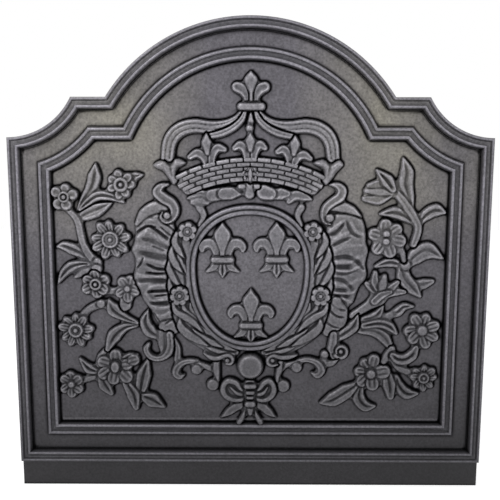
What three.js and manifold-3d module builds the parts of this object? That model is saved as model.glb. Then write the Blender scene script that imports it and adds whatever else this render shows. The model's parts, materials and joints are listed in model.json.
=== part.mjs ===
// Cast-iron fireback: an arched plate with two mouldings round a field that carries, in relief,
// a crowned oval shield with three fleurs-de-lis, garlands, curling mantling and flower sprays.
// The real plate is poured in one piece from a pattern. Each mesh is one piece of that pattern:
// the board, a length of moulding, or one carved ornament laid on the board's face.
//
// Millimetres, +Z up, the face looks along -Y. The origin is under the middle of the plate, on
// the hearth, halfway through its depth. The relief is modelled flat, as (across, up, height
// above the board's face), and laid onto the board at the end.

import * as THREE from 'three';
import Module from 'manifold-3d';

const wasm = await Module();
wasm.setup();

// ------------------------------------------------------------------ driving dimensions, mm

const PLATE_WIDTH = 600;
const PLATE_THICKNESS = 12;
const SHOULDER_HEIGHT = 455; // top of the straight sides
const CAVETTO_RADIUS = 90; // hollow quarter round in each shoulder
const LEDGE_RISE = 49; // shoulder corner up to the short ledge
const ARCH_RISE = 96; // ledge up to the top of the arch
const ARCH_RADIUS = 212;
const STRIP_HEIGHT = 35; // bare strip below the frame, which stands in the ash

const OUTER_MOULDING_WIDTH = 16.5;
const OUTER_MOULDING_HEIGHT = 9;
const BAND_WIDTH = 18; // flat band between the mouldings
const INNER_MOULDING_WIDTH = 18.5;
const INNER_MOULDING_HEIGHT = 7;

const RIM_WIDTH = 13; // double bead round the oval shield
const RIM_HEIGHT = 6.5;

const HIGHEST_RELIEF = 10; // round boss, rosettes and the crown's ornaments
const HIGH_RELIEF = 8.5;
const MIDDLE_RELIEF = 7;
const LOW_RELIEF = 5;
const CARVING_GAP = 0.3; // between ornaments that are cut by their neighbours

const STATION_SPACING = 13; // length of one facet along a stroke of carving
const ARC_STEPS = 8; // facets along each curved length of moulding
const SMALLEST_TIP = 1.6; // width at which a pointed leaf ends

// The carving is drawn in millimetres on a field of this size. A smaller field shrinks it evenly,
// as a carver would, so its leaves and scrolls keep their proportions.
const DRAWN_FIELD = { halfWidth: 247, bottom: 88, height: 459 };

// ------------------------------------------------------------------ sizes that follow

const BAND_INSET = OUTER_MOULDING_WIDTH;
const INNER_INSET = BAND_INSET + BAND_WIDTH;
const FIELD_INSET = INNER_INSET + INNER_MOULDING_WIDTH;
const LEDGE_HEIGHT = SHOULDER_HEIGHT + LEDGE_RISE;
const PLATE_HEIGHT = LEDGE_HEIGHT + ARCH_RISE;
const ARCH_CENTRE_HEIGHT = PLATE_HEIGHT - ARCH_RADIUS;
const BACK_Y = (PLATE_THICKNESS + HIGHEST_RELIEF) / 2;
const FACE_Y = BACK_Y - PLATE_THICKNESS;

const FIELD_BOTTOM = STRIP_HEIGHT + FIELD_INSET;
const CARVING_SCALE = Math.min(
  (PLATE_WIDTH / 2 - FIELD_INSET) / DRAWN_FIELD.halfWidth,
  (PLATE_HEIGHT - FIELD_INSET - FIELD_BOTTOM) / DRAWN_FIELD.height,
);

const across = (x) => x * CARVING_SCALE;
const up = (z) => FIELD_BOTTOM + (z - DRAWN_FIELD.bottom) * CARVING_SCALE;

// ------------------------------------------------------------------ solids

/** A closed solid from rings of [across, up, height] points, capped by the ends' triangles. */
function solidFromRings(rings, capTriangles) {
  const size = rings[0].length;
  const vertices = rings.flat(2);
  const triangles = [];
  for (let ring = 0; ring + 1 < rings.length; ring++) {
    for (let side = 0; side < size; side++) {
      const next = (side + 1) % size;
      const [a, b] = [ring * size + side, ring * size + next];
      triangles.push(a, b, b + size, a, b + size, a + size);
    }
  }
  const last = (rings.length - 1) * size;
  for (const [a, b, c] of capTriangles) {
    triangles.push(c, b, a, last + a, last + b, last + c);
  }
  return solidFromTriangles(vertices, triangles);
}

/** A closed solid from flat lists, turned so that its faces point outwards. */
function solidFromTriangles(vertices, triangles) {
  const corner = (index) => new THREE.Vector3().fromArray(vertices, index * 3);
  let volume = 0;
  for (let i = 0; i < triangles.length; i += 3) {
    const [a, b, c] = [0, 1, 2].map((k) => corner(triangles[i + k]));
    volume += a.dot(b.cross(c));
  }
  const outward = volume < 0 ? triangles.toReversed() : triangles;
  return new wasm.Manifold(new wasm.Mesh({
    numProp: 3,
    vertProperties: new Float32Array(vertices),
    triVerts: new Uint32Array(outward),
  }));
}

/** Triangles of a flat outline, as triples of point numbers that run the outline's own way. */
function capOf(outline) {
  const points = outline.map(([x, y]) => new THREE.Vector2(x, y));
  return THREE.ShapeUtils.triangulateShape(points, []).map((corners) => corners.sort((a, b) => a - b));
}

/** A slab with straight walls over a flat outline. */
function slab(outline, low, high) {
  const rings = [low, high].map((height) => outline.map(([x, z]) => [x, z, height]));
  return solidFromRings(rings, capOf(outline));
}

// ------------------------------------------------------------------ outline and mouldings

/** Points of the frame's outline at an inset, from the foot of the right side up to the apex. */
function outlineRuns(inset) {
  const side = PLATE_WIDTH / 2 - inset;
  const ledge = LEDGE_HEIGHT - inset;
  const hollowX = PLATE_WIDTH / 2;
  const hollowZ = SHOULDER_HEIGHT + CAVETTO_RADIUS;
  const hollowR = CAVETTO_RADIUS + inset;
  const archR = ARCH_RADIUS - inset;
  const shoulderZ = hollowZ - Math.sqrt(hollowR ** 2 - inset ** 2);
  const ledgeX = hollowX - Math.sqrt(hollowR ** 2 - (hollowZ - ledge) ** 2);
  const archX = Math.sqrt(archR ** 2 - (ledge - ARCH_CENTRE_HEIGHT) ** 2);
  const hollowStart = Math.atan2(shoulderZ - hollowZ, side - hollowX);
  const hollowEnd = Math.atan2(ledge - hollowZ, ledgeX - hollowX);
  const archStart = Math.atan2(ledge - ARCH_CENTRE_HEIGHT, archX);
  const arc = (x, z, radius, from, to) => Array.from({ length: ARC_STEPS + 1 }, (_, step) => {
    const angle = from + (to - from) * step / ARC_STEPS;
    return [x + radius * Math.cos(angle), z + radius * Math.sin(angle)];
  });
  const hollow = arc(hollowX, hollowZ, hollowR, hollowStart, hollowEnd);
  const arch = arc(0, ARCH_CENTRE_HEIGHT, archR, archStart, Math.PI / 2);
  arch[ARC_STEPS][0] = 0;
  return {
    side: [[side, STRIP_HEIGHT + inset], hollow[0]],
    shoulder: [...hollow, arch[0]],
    arch,
  };
}

const mirrored = (points) => points.map(([x, ...rest]) => [-x, ...rest]);

/** The whole outline at an inset, anticlockwise, its foot at the given height. */
function outlineAt(inset, foot) {
  const { side, shoulder, arch } = outlineRuns(inset);
  const right = [[side[0][0], foot], ...shoulder, ...arch.slice(1)];
  return [...right, ...mirrored(right.slice(0, -1)).reverse()];
}

/** The seven mitred lengths of a moulding, whose profile is a list of [inset, height]. */
function mouldingLengths(profile) {
  const runs = profile.map(([inset, height]) => {
    const lift = (points) => points.map(([x, z]) => [x, z, height]);
    const { side, shoulder, arch } = outlineRuns(inset);
    const corner = side[0];
    return {
      bottom: lift([mirrored([corner])[0], corner]),
      side_right: lift(side),
      side_left: lift(mirrored(side)),
      shoulder_right: lift(shoulder),
      shoulder_left: lift(mirrored(shoulder)),
      arch_right: lift(arch),
      arch_left: lift(mirrored(arch)),
    };
  });
  const cap = capOf(profile);
  const lengths = {};
  for (const name of Object.keys(runs[0])) {
    const rings = runs[0][name].map((_, station) => runs.map((run) => run[name][station]));
    lengths[name] = solidFromRings(rings, cap);
  }
  return lengths;
}

/** A profile drawn as shares of a width and a height, set at an inset from the outline. */
function profileOf(shares, inset, width, height) {
  return shares.map(([along, rise]) => [inset + along * width, rise * height]);
}

const OUTER_PROFILE = profileOf(
  [[0, 0], [0.06, 0.86], [0.26, 1], [0.48, 0.88], [0.54, 0.72], [0.62, 0.9], [0.8, 1], [0.94, 0.88],
    [1, 0]],
  0, OUTER_MOULDING_WIDTH, OUTER_MOULDING_HEIGHT,
);
const INNER_PROFILE = profileOf(
  [[0, 0], [0.05, 0.45], [0.24, 0.66], [0.4, 0.42], [0.52, 0.62], [0.7, 1], [0.86, 0.94],
    [0.97, 0.7], [1, 0]],
  INNER_INSET, INNER_MOULDING_WIDTH, INNER_MOULDING_HEIGHT,
);

// ------------------------------------------------------------------ the oval shield's rim

const OVAL = { halfWidth: 69, widestAt: 292, above: 67.5, below: 95, fullness: 2.15 };

/** A point of the oval, a share of a quarter turn from its side, grown by an offset. */
function ovalPoint(share, offset, upper) {
  const angle = share * Math.PI / 2;
  const reach = (upper ? OVAL.above : OVAL.below) * CARVING_SCALE + offset;
  const x = (across(OVAL.halfWidth) + offset) * Math.cos(angle) ** (2 / OVAL.fullness);
  const z = reach * Math.sin(angle) ** (2 / OVAL.fullness);
  return [share === 1 ? 0 : x, up(OVAL.widestAt) + (upper ? z : -z)];
}

/** A closed oval outline at an offset from the rim's inner edge. */
function ovalOutline(offset) {
  const steps = Array.from({ length: ARC_STEPS + 1 }, (_, step) => step / ARC_STEPS);
  const upper = steps.map((share) => ovalPoint(share, offset, true));
  const lower = steps.map((share) => ovalPoint(share, offset, false)).reverse();
  const right = [...lower, ...upper.slice(1)];
  return [...right, ...mirrored(right.slice(1, -1)).reverse()];
}

/** The rim's four quarters, keyed by the name of their place. */
function rimQuarters() {
  const shares = [[0, 0], [0.04, 0.7], [0.22, 1], [0.46, 0.62], [0.54, 0.62], [0.76, 0.95],
    [0.95, 0.6], [1, 0]];
  const profile = profileOf(shares, 0, RIM_WIDTH, RIM_HEIGHT);
  const cap = capOf(profile);
  const quarters = {};
  for (const [place, upper] of [['upper', true], ['lower', false]]) {
    const rings = Array.from({ length: ARC_STEPS + 1 }, (_, step) => profile.map(
      ([offset, height]) => [...ovalPoint(step / ARC_STEPS, offset, upper), height],
    ));
    quarters[`${place}_right`] = solidFromRings(rings, cap);
    quarters[`${place}_left`] = solidFromRings(rings.map(mirrored), cap);
  }
  return quarters;
}

// ------------------------------------------------------------------ strokes of carving

/** A leaf, stem or band along a smooth path, with widths spread evenly along it. */
const stroke = (path, widths, rise = MIDDLE_RELIEF) => ({ kind: 'stroke', path, widths, rise });

/** A band that winds inwards, angles in degrees. */
function scroll(x, z, radii, angles, widths, rise = MIDDLE_RELIEF) {
  const count = Math.ceil(Math.abs(angles[1] - angles[0]) / 45);
  const path = Array.from({ length: count + 1 }, (_, step) => {
    const share = step / count;
    const angle = THREE.MathUtils.degToRad(THREE.MathUtils.lerp(...angles, share));
    const radius = THREE.MathUtils.lerp(...radii, share);
    return [x + radius * Math.cos(angle), z + radius * Math.sin(angle)];
  });
  return stroke(path, widths, rise);
}

/** A flower seen from the front: petals round a boss. No petals makes it a plain round boss. */
const flower = (x, z, radius, petals, rise = HIGH_RELIEF, turn = 90) => (
  { kind: 'flower', x, z, radius, petals, rise, turn });

/** Cloth between two edges drawn from the top down, with folds across it. */
const drape = (outer, inner, folds, rise = LOW_RELIEF) => (
  { kind: 'drape', outer, inner, folds, rise });

/** The same carving on the other side of the plate. */
function mirror(carving) {
  return carving.map((item) => {
    const flipped = { ...item };
    for (const key of ['path', 'outer', 'inner']) {
      if (item[key]) flipped[key] = mirrored(item[key]);
    }
    if (item.kind === 'flower') {
      flipped.x = -item.x;
      flipped.turn = 180 - item.turn;
    }
    return flipped;
  });
}

const smooth = (points) => new THREE.CatmullRomCurve3(
  points.map(([x, z]) => new THREE.Vector3(across(x), up(z), 0)), false, 'centripetal',
);

/** Value at a share of the way along an evenly spread list. */
function spread(values, share) {
  const place = share * (values.length - 1);
  const before = Math.min(Math.floor(place), values.length - 2);
  return THREE.MathUtils.lerp(values[before], values[before + 1], place - before);
}

/** Share of half the width, and of the rise, at each corner of a stroke's section. */
const SECTION = [[-1, 0], [-0.5, 1], [0.5, 1], [1, 0]];

function strokeSolid({ path, widths, rise }, grow) {
  const curve = smooth(path);
  const wanted = Math.ceil(curve.getLength() / (STATION_SPACING * CARVING_SCALE));
  const count = THREE.MathUtils.clamp(wanted, path.length - 1, 2 * (path.length - 1));
  const rings = [];
  for (let station = 0; station <= count; station++) {
    const share = station / count;
    const along = curve.getTangent(share);
    const push = station === 0 ? -grow : station === count ? grow : 0;
    const centre = curve.getPoint(share).addScaledVector(along, push);
    const half = Math.max(spread(widths, share) * CARVING_SCALE, SMALLEST_TIP) / 2 + grow;
    rings.push(SECTION.map(([side, lift]) => [
      centre.x - along.y * half * side,
      centre.y + along.x * half * side,
      lift ? rise + grow : -grow,
    ]));
  }
  return solidFromRings(rings, capOf(SECTION));
}

const PETAL_NOTCH = 0.8; // radius between two petals, as a share of the flower's
const PETAL_POINTS = 3; // the notch and the petal's two shoulders
const BOSS_SIDES = 10;

function flowerSolid({ x, z, radius, petals, rise, turn }, grow) {
  const sides = Math.round(petals ? PETAL_POINTS * petals : BOSS_SIDES);
  const cup = petals ? [[1, 0], [0.86, 0.75], [0.34, 0.6]] : [[1, 0], [0.9, 0.6], [0.5, 0.92]];
  const start = THREE.MathUtils.degToRad(turn);
  const vertices = [];
  const triangles = [];
  for (const [reach, lift] of cup) {
    for (let side = 0; side < sides; side++) {
      const angle = start + side * 2 * Math.PI / sides;
      const notch = petals && side % PETAL_POINTS === 0 ? PETAL_NOTCH : 1;
      const length = radius * CARVING_SCALE * reach * notch + grow;
      vertices.push(across(x) + length * Math.cos(angle), up(z) + length * Math.sin(angle));
      vertices.push(lift ? lift * rise + grow : -grow);
    }
  }
  const lastRing = vertices.length / 3 - sides;
  const top = vertices.length / 3;
  const foot = top + 1;
  vertices.push(across(x), up(z), rise + grow);
  vertices.push(across(x), up(z), -grow);
  for (let side = 0; side < sides; side++) {
    const next = (side + 1) % sides;
    for (let ring = 0; ring < lastRing; ring += sides) {
      const [a, b] = [ring + side, ring + next];
      triangles.push(a, b, b + sides, a, b + sides, a + sides);
    }
    triangles.push(lastRing + side, lastRing + next, top, foot, next, side);
  }
  return solidFromTriangles(vertices, triangles);
}

function drapeSolid({ outer, inner, folds, rise }, grow) {
  const [left, right] = [smooth(outer), smooth(inner)];
  const shares = [[0, 0], [0.12, 0.8], [0.5, 1], [0.88, 0.8], [1, 0]];
  const count = 2 * folds;
  const rings = [];
  for (let station = 0; station <= count; station++) {
    const share = station / count;
    const push = station === 0 ? grow : station === count ? -grow : 0;
    const edges = [left.getPoint(share), right.getPoint(share)];
    const width = edges[0].distanceTo(edges[1]);
    const fold = station % 2 ? 0.72 : 1;
    rings.push(shares.map(([side, lift]) => {
      const point = edges[0].clone().lerp(edges[1], side + (2 * side - 1) * grow / width);
      return [point.x, point.y + push, lift ? rise * fold * lift + grow : -grow];
    }));
  }
  return solidFromRings(rings, capOf(shares));
}

const MAKERS = { stroke: strokeSolid, flower: flowerSolid, drape: drapeSolid };

/** All the items of a carving joined, grown on every side by a gap where it cuts another. */
function carve(items, grow = 0) {
  return wasm.Manifold.union(items.map((item) => MAKERS[item.kind](item, grow)));
}

// ------------------------------------------------------------------ the carvings
// Points are [across, up] on the drawn field. Every carving after the first ones is cut back
// where an earlier one crosses it, so the list runs from the top layer to the bottom layer.

function fleurDeLis(x, z) {
  const at = (points) => points.map(([dx, dz]) => [x + dx, z + dz]);
  const half = [
    stroke(at([[-6, 4], [-8, 14], [-13, 21], [-20, 21], [-25, 13]]), [7, 10, 14, 13, 6]),
    stroke(at([[-8, -4], [-11, -12], [-22, -16]]), [10, 12, 3]),
  ];
  const other = mirror(half.map((item) => ({
    ...item, path: item.path.map(([px, pz]) => [px - 2 * x, pz]),
  })));
  return [
    ...half,
    ...other,
    stroke(at([[0, 3], [0, 18], [0, 30], [0, 47]]), [9, 11, 24, 2], HIGH_RELIEF),
    stroke(at([[0, -4], [0, -15], [0, -24]]), [7, 13, 2], HIGH_RELIEF),
    stroke(at([[-16, 0], [16, 0]]), [11, 11], HIGH_RELIEF),
  ];
}

const crownFinial = [
  stroke([[0, 497], [0, 512], [0, 524], [0, 536]], [10, 12, 20, 2], HIGHEST_RELIEF),
  stroke([[-5, 497], [-8, 508], [-13.5, 515.5], [-22, 516]], [8, 11, 15, 7], HIGH_RELIEF),
  stroke([[5, 497], [8, 508], [13.5, 515.5], [22, 516]], [8, 11, 15, 7], HIGH_RELIEF),
  stroke([[-17.5, 493], [18.5, 493]], [11, 11], HIGH_RELIEF),
];

const crownOuterArch = [
  stroke(
    [[-10, 489], [-16, 479], [-25, 472.5], [-36, 470], [-50, 468.5], [-66, 469.5], [-80, 468],
      [-93, 460], [-100, 449], [-103, 431]],
    [4, 6, 8, 11, 15, 17, 17, 17, 17, 16], HIGH_RELIEF,
  ),
];

const crownInnerArch = [
  stroke([[-49, 455], [-30, 461], [-17, 469], [-8, 479], [-5.5, 489]], [9, 10, 10, 8, 5]),
];

const crownFleuronCentre = [
  stroke([[0, 431], [0, 440], [0, 449], [0, 464]], [11, 9, 16, 4], HIGH_RELIEF),
  stroke([[-3, 433], [-8, 441], [-14, 446], [-22, 444]], [7, 10, 11, 6]),
  stroke([[3, 433], [8, 441], [14, 446], [22, 444]], [7, 10, 11, 6]),
  flower(0, 466.5, 4.8, 0),
  stroke([[0, 469], [0, 489]], [4, 5]),
];

const crownFleuronSide = [
  stroke([[-51, 427], [-53, 440], [-53.5, 449], [-54, 461.5]], [10, 10, 15, 2], HIGH_RELIEF),
  stroke([[-51, 429], [-58, 438], [-66, 441], [-73, 438.5], [-78, 433]], [8, 11, 12, 10, 5]),
  stroke([[-50, 431], [-45, 440], [-38, 444.5], [-30, 441]], [8, 10, 11, 6]),
];

const crownFleuronEnd = [
  stroke([[-96, 402], [-99, 413], [-101, 425]], [7, 15, 8], HIGH_RELIEF),
  stroke([[-100, 412], [-105, 421], [-112, 424.5], [-120, 422]], [8, 10, 9, 5]),
  stroke([[-97, 412], [-92, 420], [-87, 424], [-80, 423]], [8, 9, 9, 5]),
];

const crownCirclet = [
  drape(
    [[-96, 405], [-72, 417.5], [-40, 427], [0, 431], [40, 427], [72, 417.5], [96, 405]],
    [[-79, 384], [-58, 392], [-30, 399], [0, 401.5], [30, 399], [58, 392], [79, 384]],
    6, HIGH_RELIEF,
  ),
  flower(0, 411, 9, 4, HIGHEST_RELIEF),
];

const crownLiningLeft = [
  stroke([[-64, 346], [-59, 361], [-65, 371], [-79, 379.5]], [8, 11, 14, 4]),
  stroke([[-70, 377], [-62, 381], [-54, 380], [-48, 375]], [8, 11, 12, 6]),
  stroke([[-55, 381], [-44, 382], [-32, 383.5]], [10, 15, 15]),
  stroke([[-36, 384.5], [-24, 385], [-7, 384.5]], [15, 18, 4]),
  stroke([[0, 400], [-1, 388], [-1, 377.5]], [14, 15, 12]),
  stroke([[-15, 395], [14, 395]], [7, 7], LOW_RELIEF),
];

const crownLiningRight = [
  stroke([[66, 346], [60, 361], [64, 371], [77, 379]], [8, 11, 13, 4]),
  stroke([[70, 378], [58, 382], [47, 378]], [6, 14, 12]),
  stroke([[52, 385], [39, 382.5], [28, 383]], [13, 19, 10]),
  stroke([[32, 386], [21, 387.5], [11, 386.5]], [19, 21, 10]),
];

const roundBoss = [flower(0, 164, 18.3, 0, HIGHEST_RELIEF)];

const garlandUpper = [
  flower(-78, 337, 12.5, 7, HIGHEST_RELIEF),
  stroke([[-84, 334], [-90, 312], [-92, 290], [-91, 268]], [18, 22, 22, 20], LOW_RELIEF),
  stroke([[-92, 334], [-95, 323], [-86, 307]], [7, 10, 3]),
  stroke([[-80, 328], [-84, 314], [-82, 298]], [6, 9, 3]),
  stroke([[-97, 320], [-99, 306], [-91, 293]], [5, 9, 3]),
  stroke([[-101, 302], [-102, 290], [-95, 276]], [5, 9, 3]),
  stroke([[-85, 300], [-85, 287], [-88, 272]], [5, 10, 3]),
];

const garlandLower = [
  flower(-90, 257, 13.5, 7, HIGHEST_RELIEF),
  stroke([[-91, 252], [-88, 232], [-72, 210], [-50, 192], [-20, 182]], [16, 23, 25, 20, 8], LOW_RELIEF),
  stroke([[-97, 246], [-93, 232], [-74, 218]], [7, 10, 3]),
  stroke([[-90, 226], [-87, 212], [-74, 202], [-60, 197]], [7, 12, 10, 3]),
  stroke([[-81, 203], [-76, 190], [-63, 184]], [7, 11, 5]),
  stroke([[-68, 197], [-56, 190], [-40, 184.5]], [5, 8, 3]),
  stroke([[-58, 181], [-50, 176], [-36, 175], [-24, 179]], [6, 9, 8, 6]),
  flower(-26.5, 172.5, 7.5, 0, MIDDLE_RELIEF),
];

const pendantSide = [
  stroke(
    [[-5, 132], [-13, 138], [-20, 143], [-29, 142], [-33, 133], [-31, 124], [-23, 119], [-6, 119]],
    [6, 8, 8, 9, 9, 9, 8, 6],
  ),
  stroke([[-4, 127], [-17, 127], [-24, 132], [-28, 139]], [6, 6, 6, 4]),
  stroke([[-6, 117], [-14, 111], [-22, 104], [-34, 94]], [8, 13, 14, 2]),
  stroke([[-4, 105], [-8, 96], [-12, 87]], [5, 9, 12]),
];

const pendant = [
  ...pendantSide,
  ...mirror(pendantSide),
  stroke([[0, 141], [0, 131]], [17, 17], HIGH_RELIEF),
  stroke([[0, 134], [0, 116]], [13, 13], HIGH_RELIEF),
  stroke([[0, 119], [0, 112]], [17, 15], HIGHEST_RELIEF),
  stroke([[0, 113], [0, 104], [0, 96]], [13, 11, 9], HIGH_RELIEF),
];

const lowerScrollLeft = [
  stroke(
    [[-84.5, 151.5], [-90.5, 150.5], [-96, 156], [-93.5, 165], [-83, 168], [-70, 167.5],
      [-58, 164.5], [-49, 158], [-44, 148], [-42, 138]],
    [5, 9, 13, 12, 11, 8, 8, 9, 9, 8],
  ),
  flower(-69, 159.5, 8, 0, MIDDLE_RELIEF),
  stroke([[-40, 171], [-43.5, 160], [-43, 148]], [7, 9, 8]),
  flower(-47.5, 139, 8.7, 0, MIDDLE_RELIEF),
  stroke([[-97, 202], [-92.5, 188], [-93, 170]], [2, 9, 11], LOW_RELIEF),
];

const lowerScrollRight = [
  stroke(
    [[80, 154.5], [86, 152.5], [92, 155], [94, 163], [88, 171], [76, 173], [62, 171], [49, 166],
      [40, 158], [37, 146], [37, 138]],
    [5, 9, 13, 13, 10, 9, 8, 9, 10, 9, 8],
  ),
  flower(60, 162.5, 8, 0, MIDDLE_RELIEF),
  flower(43, 137, 8.7, 0, MIDDLE_RELIEF),
  flower(96, 180, 5.5, 0, MIDDLE_RELIEF),
  stroke([[95, 179], [97, 168], [105, 168], [114, 173.5]], [6, 9, 9, 3]),
];

const mantleScrollLeft = [
  stroke(
    [[-103, 206], [-102, 193], [-105, 182], [-113, 175], [-122, 174], [-130, 178.5],
      [-133.5, 187], [-131, 193]],
    [12, 12, 12, 9, 9, 9, 8, 4],
  ),
  stroke([[-114, 207], [-114, 195], [-112, 184]], [11, 11, 9], LOW_RELIEF),
  stroke([[-118, 203], [-129, 211], [-134, 223], [-129.5, 239]], [10, 18, 15, 2]),
];

const mantleScrollRight = [
  stroke([[107, 206], [106.5, 194], [105, 184], [109, 176]], [12, 13, 11, 9]),
  scroll(116.5, 183, [9, 4.5], [215, 540], [7, 7.5, 5]),
  stroke([[106, 198], [119, 205], [131, 216], [137, 233]], [9, 16, 16, 2]),
];

const mantleLeft = [
  stroke(
    [[-101.5, 396], [-110, 396], [-114.5, 389], [-110, 381.5], [-101, 376], [-95.5, 368],
      [-97, 358]],
    [5, 9, 14, 15, 14, 12, 10],
  ),
  flower(-104.5, 359.5, 8.8, 0, MIDDLE_RELIEF),
  stroke([[-101, 372], [-112, 371], [-124, 367.5], [-134, 361], [-141, 352]], [12, 16, 19, 15, 4]),
  drape(
    [[-130, 368], [-143, 350], [-148, 322], [-147, 300], [-147, 280], [-137, 255], [-126, 237],
      [-113, 219]],
    [[-106, 360], [-93, 343], [-98, 322], [-102, 300], [-102, 280], [-102, 260], [-99, 238],
      [-92, 224]],
    6,
  ),
  stroke([[-112, 214], [-101, 213.5], [-89, 216]], [10, 20, 16]),
];

const mantleRight = [
  stroke(
    [[99, 399], [108, 398.5], [114, 392.5], [114, 385], [106, 378], [96, 370], [92.5, 361],
      [95, 353]],
    [4, 8, 11, 12, 13, 12, 10, 9],
  ),
  flower(98, 354.5, 7.5, 0, MIDDLE_RELIEF),
  stroke([[101, 371], [114, 370.5], [126, 366], [138, 358]], [12, 15, 13, 3]),
  drape(
    [[130, 364], [143, 348], [148, 325], [149, 304], [147, 280], [138, 262], [129, 245], [123, 228]],
    [[104, 362], [95, 342], [98, 325], [103, 303], [104, 282], [103, 262], [100, 240], [97, 226]],
    6,
  ),
  stroke([[105, 248], [110, 233], [106, 218], [101, 206]], [12, 25, 29, 19]),
];

const leftFlowerTop = [
  flower(-161, 397, 18.5, 7),
  stroke([[-154, 403], [-145, 408], [-133.5, 409]], [8, 11, 2]),
  stroke([[-214, 366], [-206, 380], [-197, 396], [-193, 409], [-191.5, 423]], [6, 13, 17, 14, 2]),
  stroke([[-213, 368], [-200, 378], [-186, 385], [-172, 381.5], [-158, 375.5]], [5, 9, 12, 11, 4]),
];

const leftSprayTop = [
  flower(-234, 382, 17, 5, HIGH_RELIEF, 90),
  stroke([[-213, 355], [-203, 361], [-191, 367], [-173, 374]], [6, 11, 12, 2]),
  stroke([[-214, 350], [-203, 355], [-191, 358]], [6, 9, 4], LOW_RELIEF),
  stroke(
    [[-231, 374], [-217, 353], [-213, 335], [-211, 322], [-204, 310], [-195, 299]],
    [8, 9, 9, 9, 10, 10],
  ),
  flower(-194, 292, 7.5, 0, MIDDLE_RELIEF),
  stroke([[-198, 302], [-209, 309], [-225, 317], [-242, 319]], [7, 13, 15, 2]),
  stroke([[-202, 297], [-218, 298], [-232, 291], [-243, 272]], [8, 12, 15, 2]),
  stroke([[-201, 291], [-211, 286], [-222, 280]], [7, 8, 3], LOW_RELIEF),
];

const leftFlowerMiddle = [flower(-176, 328, 26, 9, HIGH_RELIEF, 11)];

const leftFlowerPair = [
  flower(-196, 272, 18.5, 7, HIGH_RELIEF, 40),
  flower(-156, 265, 17, 6),
  stroke([[-158, 253], [-159, 244], [-160, 238]], [13, 14, 5]),
  stroke([[-184, 264], [-168, 262]], [9, 9], LOW_RELIEF),
];

const leftSprayMiddle = [
  flower(-223, 211, 23, 9),
  stroke([[-215, 230], [-205, 238], [-192, 244], [-180, 238]], [8, 8, 10, 9], LOW_RELIEF),
  stroke([[-144, 218], [-160, 215], [-174, 204], [-180, 194], [-184, 184]], [5, 11, 17, 12, 4]),
  stroke([[-144, 221], [-160, 228], [-174, 238], [-180, 251]], [5, 11, 17, 2]),
];

const leftSprayBottom = [
  flower(-175, 177, 9, 0),
  flower(-158, 167, 8, 0),
  flower(-187, 167, 8.5, 0),
  flower(-188, 154, 8, 0),
  flower(-175, 150, 9, 0),
  flower(-159, 150, 9.5, 0),
  flower(-173, 162, 9, 6, HIGHEST_RELIEF),
  stroke([[-164, 171], [-155, 176], [-144, 179]], [9, 10, 3]),
  flower(-231, 139, 17, 6),
  stroke([[-216, 144], [-203, 148], [-188, 151]], [7, 7, 7], LOW_RELIEF),
  stroke([[-191, 155], [-199, 156], [-208, 161], [-220, 173]], [7, 9, 14, 3]),
  stroke([[-189, 150], [-187, 139], [-180, 127]], [10, 17, 6]),
  stroke([[-142, 124], [-140, 138], [-137, 152], [-131, 173]], [9, 17, 19, 2]),
  stroke([[-160, 145], [-151, 126], [-148, 108]], [10, 17, 7]),
  stroke([[-152, 127], [-144, 131], [-140, 124]], [9, 9, 9], LOW_RELIEF),
  stroke([[-141, 124], [-128, 118], [-111, 109]], [9, 20, 2]),
];

const rightSprayTop = [
  stroke([[178, 391], [170, 402], [156, 415]], [9, 17, 3], HIGH_RELIEF),
  stroke([[177, 390], [163, 397], [144, 396]], [9, 13, 5]),
  stroke([[176, 389], [160, 388.5], [142, 390]], [9, 10, 4]),
  stroke([[175, 388], [160, 380], [139.5, 380]], [10, 14, 3]),
  stroke(
    [[178, 389], [189, 379], [197, 368], [205, 356], [210, 346], [209, 334], [203, 320]],
    [9, 10, 11, 10, 9, 9, 7],
  ),
  stroke([[201, 368], [196, 384], [193, 400], [194, 413], [189, 430]], [7, 14, 19, 16, 2]),
  stroke([[206, 350], [193, 359], [180, 363], [162, 361]], [8, 14, 14, 2]),
  stroke([[211, 350], [221, 361], [232, 366], [243, 363]], [6, 15, 15, 3]),
];

const rightFlowerUpper = [
  flower(170, 347, 7.5, 0),
  flower(183, 342, 7.5, 0),
  flower(187, 329, 8, 0),
  flower(176, 315, 8.5, 0),
  flower(162, 318, 8, 0),
  flower(156, 334, 7.5, 0),
  flower(171, 331, 13, 6),
  stroke([[183, 321], [190, 312], [193, 302]], [8, 6, 5], LOW_RELIEF),
];

const rightLeavesMiddle = [
  flower(196, 296, 6, 0, MIDDLE_RELIEF),
  stroke([[199, 297], [209, 309], [223, 316], [243, 305]], [8, 20, 22, 2]),
  stroke([[193, 296], [176, 300], [158, 295]], [6, 12, 3]),
  stroke([[194, 297], [196, 282], [205, 268], [217, 256]], [7, 17, 17, 3]),
  stroke([[208, 270], [220, 272.5], [231, 276]], [11, 14, 4], LOW_RELIEF),
];

const rightFlowerOpen = [
  stroke([[164, 258], [159, 274], [158, 288]], [9, 11, 5]),
  stroke([[167, 258], [168, 272], [170, 283]], [9, 10, 5]),
  stroke([[170, 259], [180, 268], [188, 275]], [9, 10, 4]),
  stroke([[163, 258], [153, 267], [146, 273]], [9, 10, 5]),
  stroke([[168, 257], [185, 260], [198, 262]], [9, 10, 4]),
  stroke([[169, 261], [160, 252], [150, 243], [130, 231]], [10, 11, 8, 7]),
];

const rightLeavesLower = [
  stroke([[143, 224], [158, 230], [169, 243]], [9, 13, 3]),
  stroke([[170, 226], [185, 234], [196, 242], [208, 243]], [6, 13, 10, 2]),
  stroke([[143, 219], [162, 221], [177, 218], [187, 208]], [9, 12, 13, 4]),
  stroke([[139, 212], [158, 211], [171, 203], [181, 188]], [9, 14, 15, 5]),
  stroke([[138, 217], [158, 221]], [14, 14], LOW_RELIEF),
];

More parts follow.
